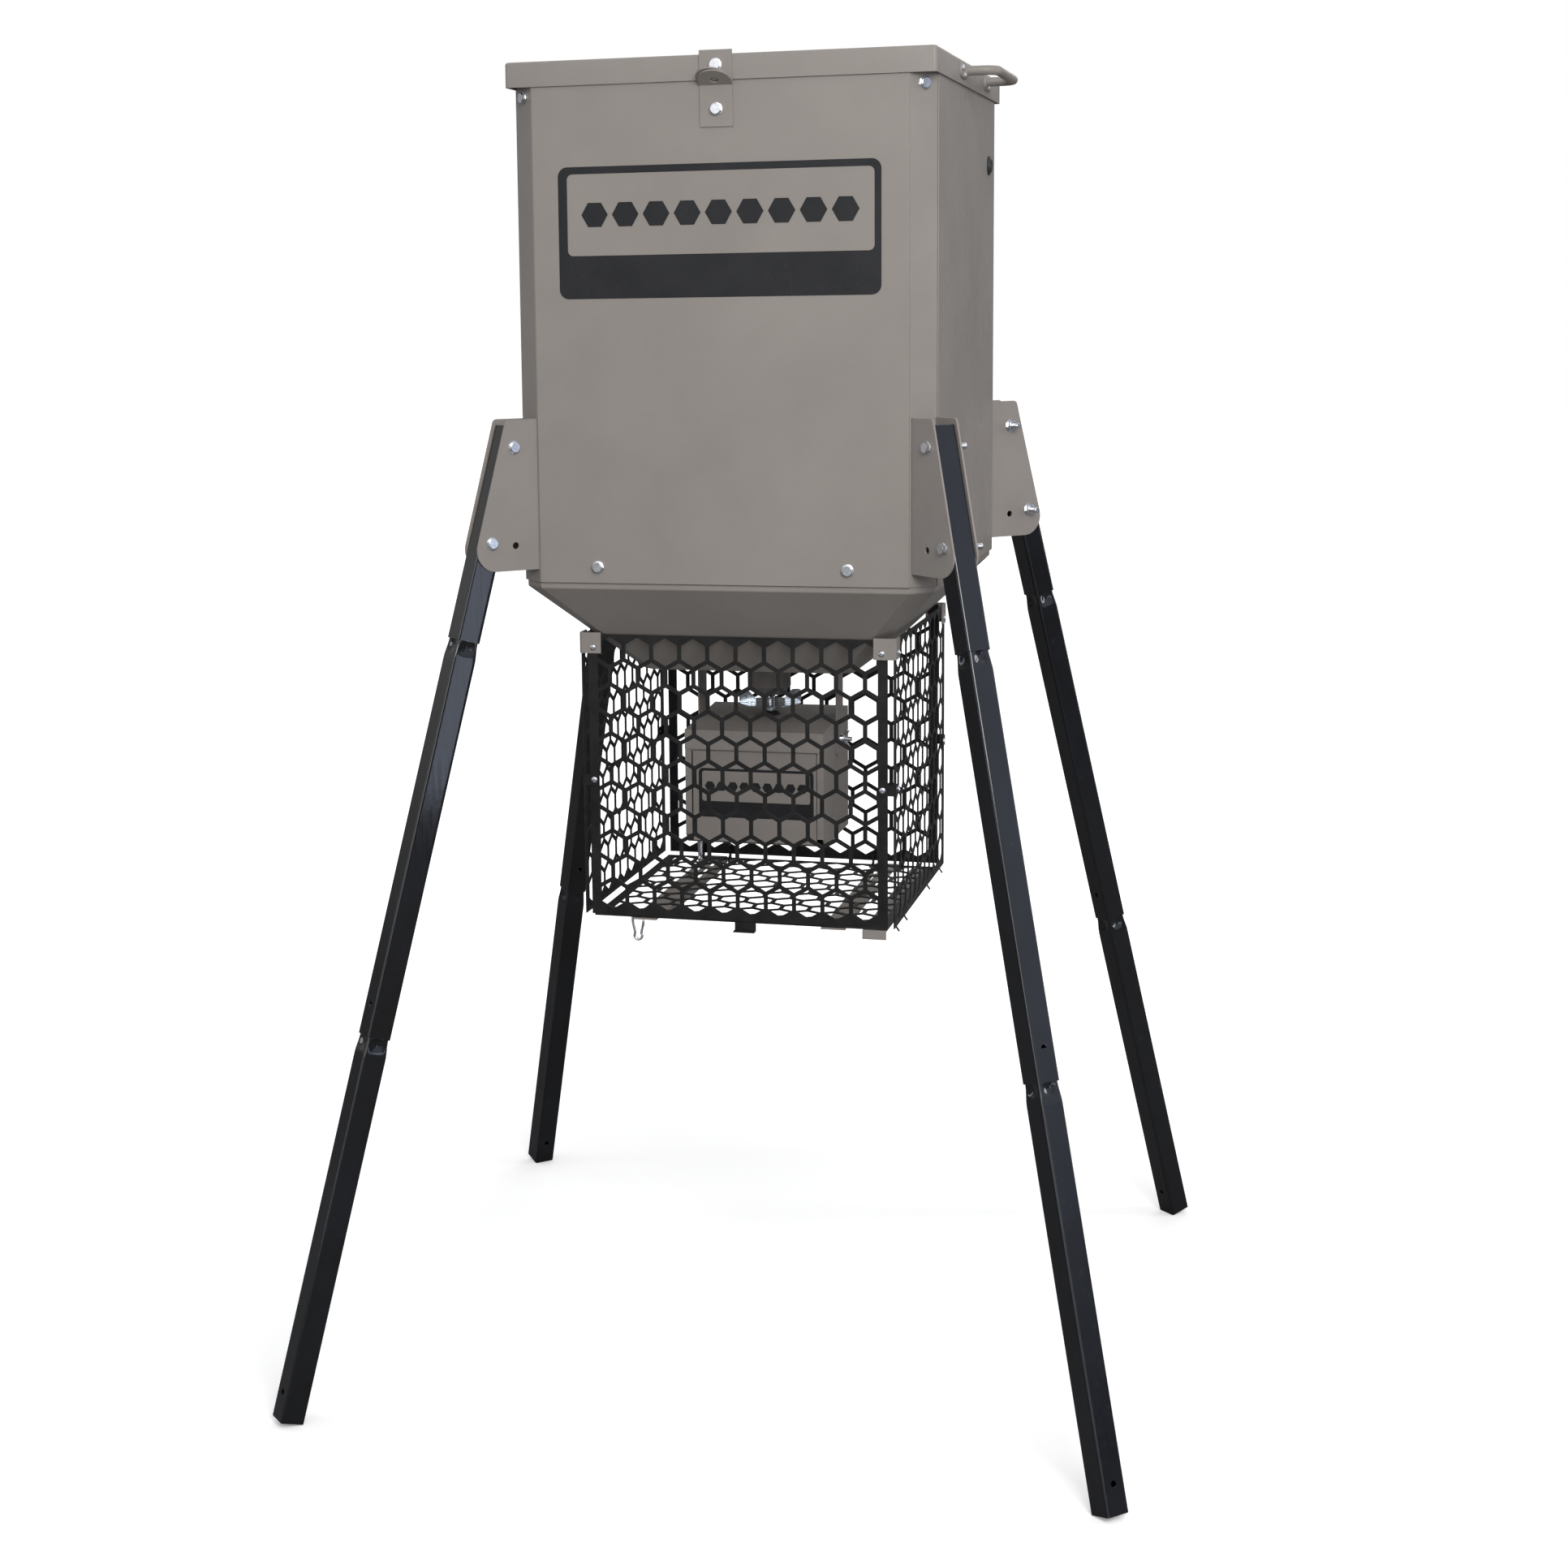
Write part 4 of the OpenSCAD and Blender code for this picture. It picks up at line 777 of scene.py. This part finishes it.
def build_lid():
    """Pan with rolled bends, welded corners and a hem round the lower edge."""
    t, bend = 1.5 * MM, 3.2 * MM
    h = LID_TOP - SKIRT_Z
    outer = [(0.0, 0.0)] + [(bend + x, h - bend + y) for x, y in arc(0, 0, bend, 180, 90, 6)]
    inner = [(bend + x, h - bend + y) for x, y in arc(0, 0, bend - t, 90, 180, 6)]
    hem = [(t, 7 * MM), (t + 0.9 * MM, 6.4 * MM), (t + 0.9 * MM, 0.5 * MM), (t + 0.4 * MM, 0.0)]
    # From the middle of the sheet's underside, round the hem, to the middle of its top
    outside_r, inside_r, middle = 4 * MM, 3 * MM, LID_HALF * 0.5
    rings = [square_ring(middle, outside_r, SKIRT_Z + h - t)]
    rings += [square_ring(LID_HALF - inset, inside_r, SKIRT_Z + z) for inset, z in inner + hem]
    rings += [square_ring(LID_HALF - inset, outside_r, SKIRT_Z + z) for inset, z in outer]
    rings.append(square_ring(middle, outside_r, SKIRT_Z + h))
    bm = bmesh.new()
    add_rings(bm, rings)
    stand_in(from_bmesh("lid_pan_folded", bm, 40), "lid_pan")


def build_handles():
    """Bent rods welded to flat feet."""
    low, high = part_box("lid_handles")
    r, bend = 6 * MM, 18 * MM
    middle = (low.y + high.y) / 2
    half = 87 * MM
    z = SKIRT_Z + 18 * MM
    reach = high.x - r
    bm = bmesh.new()
    for sx in (1, -1):
        ends = LID_HALF + 0.5 * MM
        path = rounded_path([(ends, -half), (reach, -half), (reach, half), (ends, half)], [bend, bend], 12)
        tube_along(bm, [Vector((sx * x, middle + y, z)) for x, y in path], r, 20)
        for sy in (1, -1):
            # Weld bead at the root of the rod
            root = at(sx * (LID_HALF + 2.2 * MM), middle + sy * half, z) @ rot("Y", 90 * sx)
            bead = [(r - 0.5 * MM, 0)] + arc(r + 0.2 * MM, 0.2 * MM, 1.9 * MM, 0, 90, 3)
            bead.append((r - 0.5 * MM, 2.4 * MM))
            lathe(bm, root, bead, 28, loop=True)
            foot_y = middle + sy * (half + 16 * MM)
            foot = []
            for lift, grow in ((0, 0), (1.8 * MM, 0), (2.4 * MM, -0.25 * MM), (2.6 * MM, -0.8 * MM)):
                ring = []
                for cx, cy, a0 in ((17, 2, 0), (-17, 2, 90), (-17, -2, 180), (17, -2, 270)):
                    ring += [
                        Vector((sx * (LID_HALF + lift), foot_y + x, z - 0.5 * MM + y))
                        for x, y in arc(cx * MM, cy * MM, 8 * MM + grow, a0, a0 + 90, 6)
                    ]
                foot.append(ring)
            add_rings(bm, foot)
    stand_in(from_bmesh("lid_handle_rods", bm, 35), "lid_handles")


def pear_link(r, length, corner, side_end, open_side):
    """Smooth wire link hanging from z = 0: two sides that draw in to a small eye."""
    eye = 5.2 * MM
    eye_z = eye - length
    top = arc(r - corner, -corner, corner, 0, 90, 8) + arc(corner - r, -corner, corner, 90, 180, 8)
    tip = (-eye * math.cos(math.radians(30)), eye_z + eye / 2)
    left = bezier((-r, side_end), (-r, side_end - 5 * MM), (tip[0] + 1.0 * MM, tip[1] + 2.6 * MM), tip, 10)
    foot = [(-r, side_end)] + left + arc(0, eye_z, eye, 150, 390, 22)[1:]
    foot += [(-x, z) for x, z in reversed(left[:-1])] + [(r, side_end)]
    return ([(r, -corner - 1.1 * MM)] if open_side else []) + top + foot


def build_hooks():
    """Wire snap hooks, and the gate that closes the floor hook."""
    links = (("floor_snap_hook", 3.5 * MM, 9.9 * MM, True), ("box_snap_hook", 6.5 * MM, 23.5 * MM, False))
    for node, corner, side, open_side in links:
        low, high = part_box(node)
        middle = (low + high) / 2
        half = max(high.x - low.x, high.y - low.y) / 2 - WIRE_R
        path = pear_link(half, high.z - low.z - 2 * WIRE_R, corner, -side, open_side)
        bm = bmesh.new()
        across = Vector((1, 0, 0)) if high.x - low.x > high.y - low.y else Vector((0, 1, 0))
        start = Vector((middle.x, middle.y, high.z - WIRE_R))
        points = [start + across * x + Vector((0, 0, z)) for x, z in path]
        tube_along(bm, points if open_side else points[:-1], WIRE_R, 18, closed=not open_side)
        stand_in(from_bmesh(node + "_wire", bm, 50), node)

    low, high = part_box("floor_hook_gate")
    bm = bmesh.new()
    r = (high.x - low.x) / 2
    h = high.z - low.z
    foot = at((low.x + high.x) / 2, (low.y + high.y) / 2, low.z)
    ball = [(max(x, TIP), z) for x, z in arc(0, r, r, -90, 0, 6)]
    lathe(bm, foot, ball + [(r, h - 0.5 * MM), (r - 0.4 * MM, h), (TIP, h)], 28)
    stand_in(from_bmesh("floor_hook_gate_wire", bm, 40), "floor_hook_gate")


def build_wing_nuts():
    """Cast nuts with two rounded wings, as the CAD turns them."""
    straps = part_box("hanger_straps")
    centre_z = BASE_Z - 236 * MM
    for node, side, tilt in (("right_wing_nut", 1, 20), ("left_wing_nut", -1, 70)):
        x = straps[1].x + 0.3 * MM
        place = at(side * x, 0, centre_z) @ Matrix.Diagonal((side, 1, 1, 1)) @ rot("X", tilt) @ rot("Y", 90)
        bm = bmesh.new()
        boss = [(3.08, 0), (6.2, 0), (6.5, 0.4), (6.2, 3), (5.4, 6), (4.8, 6.8), (4.2, 7), (3.08, 7)]
        lathe(bm, place, [(r * MM, z * MM) for r, z in boss], 36, loop=True)
        for way in (1, -1):
            # Stations up the wing: distance out, height range along the stud, half thickness
            rings = []
            for out, a, b, half in ((2.0, 2.4, 6.4, 1.2), (5.0, 3.4, 8.4, 1.15), (8.5, 4.6, 11.2, 1.1),
                                    (12.0, 6.8, 13.2, 1.1), (13.4, 8.0, 13.4, 0.9), (13.95, 9.4, 12.6, 0.4)):
                ring = []
                for k in range(16):
                    q = 2 * math.pi * k / 16
                    along = (a + b) / 2 + (b - a) / 2 * math.copysign(abs(math.cos(q)) ** 0.6, math.cos(q))
                    thickness = half * math.copysign(abs(math.sin(q)) ** 0.7, math.sin(q))
                    ring.append(place @ (Vector((-way * out, way * thickness, along)) * MM))
                rings.append(ring)
            add_rings(bm, rings)
        stand_in(from_bmesh(node + "_cast", bm, 40), node)


def build_spinner():
    """Flat round plate with four fins bent up from it."""
    low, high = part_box("spinner_plate")
    plate_z = high.z - 18.5 * MM
    t = 1.5 * MM
    bm = bmesh.new()
    radius = 42 * MM
    bore, e = 4.0 * MM, 0.3 * MM
    lathe(bm, at(0, 0, plate_z), [(bore, 0), (radius - e, 0), (radius, e), (radius, t - e), (radius - e, t),
                                  (bore, t)], 72, loop=True)
    # Hub under the plate, and its set screw
    lathe(bm, at(0, 0, plate_z - 9.5 * MM), [(bore, 0), (7.6 * MM, 0), (8 * MM, 0.4 * MM), (8 * MM, 9.6 * MM),
                                             (bore, 9.6 * MM)], loop=True)
    lathe(bm, at(bore + 0.1 * MM, 0, plate_z - 5 * MM) @ rot("Y", 90),
          [(TIP, 0), (2.2 * MM, 0), (2.2 * MM, 7 * MM), (1.8 * MM, 7.4 * MM), (TIP, 7.4 * MM)], 24)
    for a in (20, 110, 200, 290):
        place = turned(a) @ at(19.5 * MM, 0, plate_z + t - 0.02 * MM)
        shape = rounded_path([(0, 0), (22, 0), (24, 14), (20, 17), (10.5, 17), (0, 5), (0, 0.01)],
                             [0.5, 2.5, 2.0, 4.0, 1.5], 5)
        outline = [Vector((x, 0, z)) * MM for x, z in shape]
        # The fin's outline, drawn in a little at both faces
        centre = sum(outline, Vector()) / len(outline)
        rings = []
        for y, shrink in ((-0.75, 0.3), (-0.45, 0.0), (0.45, 0.0), (0.75, 0.3)):
            rings.append([
                place @ (p + (centre - p).normalized() * shrink * MM + Vector((0, y * MM, 0)))
                for p in outline
            ])
        add_rings(bm, rings)
    stand_in(from_bmesh("spinner_plate_bent", bm, 35), "spinner_plate")


# ---- Scene ----

def build_camera():
    """Camera at the place and tilt from which the object was seen."""
    azimuth, pitch, roll = math.radians(15.92), math.radians(8.47), math.radians(-0.84)
    forward = turned(math.degrees(azimuth)) @ Vector((0, math.cos(pitch), -math.sin(pitch)))
    right = Vector((math.cos(azimuth), math.sin(azimuth), 0))
    up = right.cross(forward)
    tilted_right = math.cos(roll) * right + math.sin(roll) * up
    tilted_up = -math.sin(roll) * right + math.cos(roll) * up
    data = bpy.data.cameras.new("camera")
    data.lens = 57.91
    data.sensor_width = 36
    data.shift_x = 0.0899
    data.shift_y = -0.0643
    camera = new_object("camera", data)
    matrix = Matrix((tilted_right, tilted_up, -forward)).transposed().to_4x4()
    matrix.translation = Vector((0.7620, -3.3003, 1.3935))
    camera.matrix_world = matrix
    bpy.context.scene.camera = camera


def area_light(name, place, target, size, power, colour=(1, 1, 1)):
    data = bpy.data.lights.new(name, "AREA")
    data.shape = "RECTANGLE"
    data.size, data.size_y = size
    data.energy = power
    data.color = colour
    light = new_object(name, data)
    light.location = place
    light.rotation_euler = (Vector(target) - Vector(place)).to_track_quat("-Z", "Y").to_euler()


def studio_world():
    """White to the camera, soft grey to matt surfaces, and softboxes at both sides to shiny ones."""
    world = bpy.data.worlds.new("studio")
    world.use_nodes = True
    g = Graph(world.node_tree)
    background = g.tree.nodes["Background"].inputs
    split = g.node("ShaderNodeSeparateXYZ")
    g.link(g.node("ShaderNodeTexCoord").outputs["Generated"], split.inputs[0])
    x, y, z = split.outputs
    left = g.math("MULTIPLY", g.ramp(x, -0.62, -0.80, 0, 0.30), g.ramp(z, -0.02, 0.12, 0, 1))
    right = g.math("MULTIPLY", g.ramp(x, 0.62, 0.80, 0, 0.72), g.ramp(z, 0.0, 0.16, 0, 1))
    sides = g.math("MAXIMUM", left, right)
    narrow = g.ramp(g.math("ABSOLUTE", x, 0.0), 0.14, 0.06, 0, 4.5)
    glint = g.math("MULTIPLY", narrow, g.ramp(y, -0.78, -0.84))
    glint = g.math("MULTIPLY", glint, g.ramp(z, 0.05, 0.15, 0, 1))
    front = g.math("MULTIPLY", g.ramp(y, -0.55, -0.90, 0, 1.0), g.ramp(z, -0.25, 0.0, 0.2, 1))
    above = g.ramp(z, 0.45, 0.75, 0, 0.9)
    boxes = g.math("ADD", g.math("MAXIMUM", g.math("MAXIMUM", sides, front), above), 0.12)
    boxes = g.math("ADD", boxes, glint)
    sky = g.ramp(z, -0.5, 0.8, 0.22, 0.70)
    path = g.node("ShaderNodeLightPath")
    strength = g.choose(path.outputs["Is Camera Ray"], g.choose(path.outputs["Is Glossy Ray"], sky, boxes), 1.0)
    g.link(strength, background["Strength"])
    cool = g.math("MULTIPLY", g.ramp(x, 0.5, 0.8), path.outputs["Is Glossy Ray"])
    g.link(g.mix(cool, (1.0, 1.0, 1.0), (0.74, 0.82, 1.0)), background["Color"])
    bpy.context.scene.world = world
    bpy.context.scene.view_settings.view_transform = "Standard"


def build_lights():
    area_light("key", (1.5, -3.0, 2.5), (0, 0, 1.2), (1.5, 1.5), 82)
    area_light("right_strip", (3.9, 1.1, 1.7), (0, 0, 1.0), (0.5, 3.0), 26, (0.97, 0.98, 1.0))
    area_light("low_strip", (3.6, -1.85, 0.45), (-0.3, -0.3, 0.8), (0.6, 1.3), 5, (0.72, 0.80, 1.0))
    area_light("left_strip", (-3.7, -0.9, 1.5), (0, 0, 0.9), (0.45, 2.8), 13, (0.86, 0.91, 1.0))
    area_light("rim", (0.6, 3.6, 3.0), (0, 0, 1.0), (2.6, 1.6), 22)


def build_floor():
    """Pale studio floor that fades into the white behind it. A painted glow, seen only by the camera, brightens
    it more with distance from the object; to bounce light and reflections it is painted a darker grey, which
    paints shade on the undersides and in the reflections of shiny parts.
    """
    bm = bmesh.new()
    bmesh.ops.create_circle(bm, cap_ends=True, segments=96, radius=30)
    floor = from_bmesh("floor", bm)
    p = Paint("pale_floor_painted_glow")
    pale = p.mix(p.ramp(p.noise(1.2, 3), 0.3, 0.7), (0.88, 0.88, 0.88), (0.92, 0.92, 0.92))
    rays = p.node("ShaderNodeLightPath").outputs
    seen = rays["Is Camera Ray"]
    # Painted shade: the floor shows darker grey to bounce light (0.30) and to reflections (0.14) than to the
    # camera
    painted_dark_to_bounce_and_reflections = p.mix(rays["Is Glossy Ray"], (0.30, 0.30, 0.30), (0.14, 0.14, 0.14))
    p.colour(p.mix(seen, painted_dark_to_bounce_and_reflections, pale))
    p.shader.inputs["Roughness"].default_value = 0.8
    p.shader.inputs["Specular IOR Level"].default_value = 0.2
    distance = p.node("ShaderNodeVectorMath")
    distance.operation = "LENGTH"
    p.link(p.coords, distance.inputs[0])
    # Painted glow: camera-only emission that brightens the floor with distance from the object
    painted_glow = p.ramp(distance.outputs["Value"], 0.6, 2.6, 0.22, 0.70)
    p.link(p.math("MULTIPLY", painted_glow, seen), p.shader.inputs["Emission Strength"])
    p.shader.inputs["Emission Color"].default_value = (1, 1, 1, 1)
    floor.data.materials.append(p.material)


SOFT_EDGES = {
    0.5 * MM: ["front_panel", "back_panel", "left_panel", "right_panel", "corner_posts", "lid_hasps",
               "body_hasps", "front_left_bracket", "front_right_bracket", "back_left_bracket",
               "back_right_bracket", "control_box", "hanger_straps", "box_door", "funnel_floor", "spout",
               "cage_top_clips", "floor_bars", "battery", "timer_module"],
    0.35 * MM: ["cage_front", "cage_back", "cage_left", "cage_right", "cage_floor", "cage_side_clips",
                "motor", "motor_bushing", "side_plug"],
    0.15 * MM: ["front_label", "box_label", "timer_display", "set_button", "up_button", "down_button"],
}

paint_cad_nodes()
for edge_width, names in SOFT_EDGES.items():
    for edge_name in names:
        refine(edge_name, edge_width)
build_camera()
studio_world()
build_lights()
build_floor()
build_legs()
build_fasteners()
build_funnel()
build_lid()
build_handles()
build_hooks()
build_wing_nuts()
build_spinner()
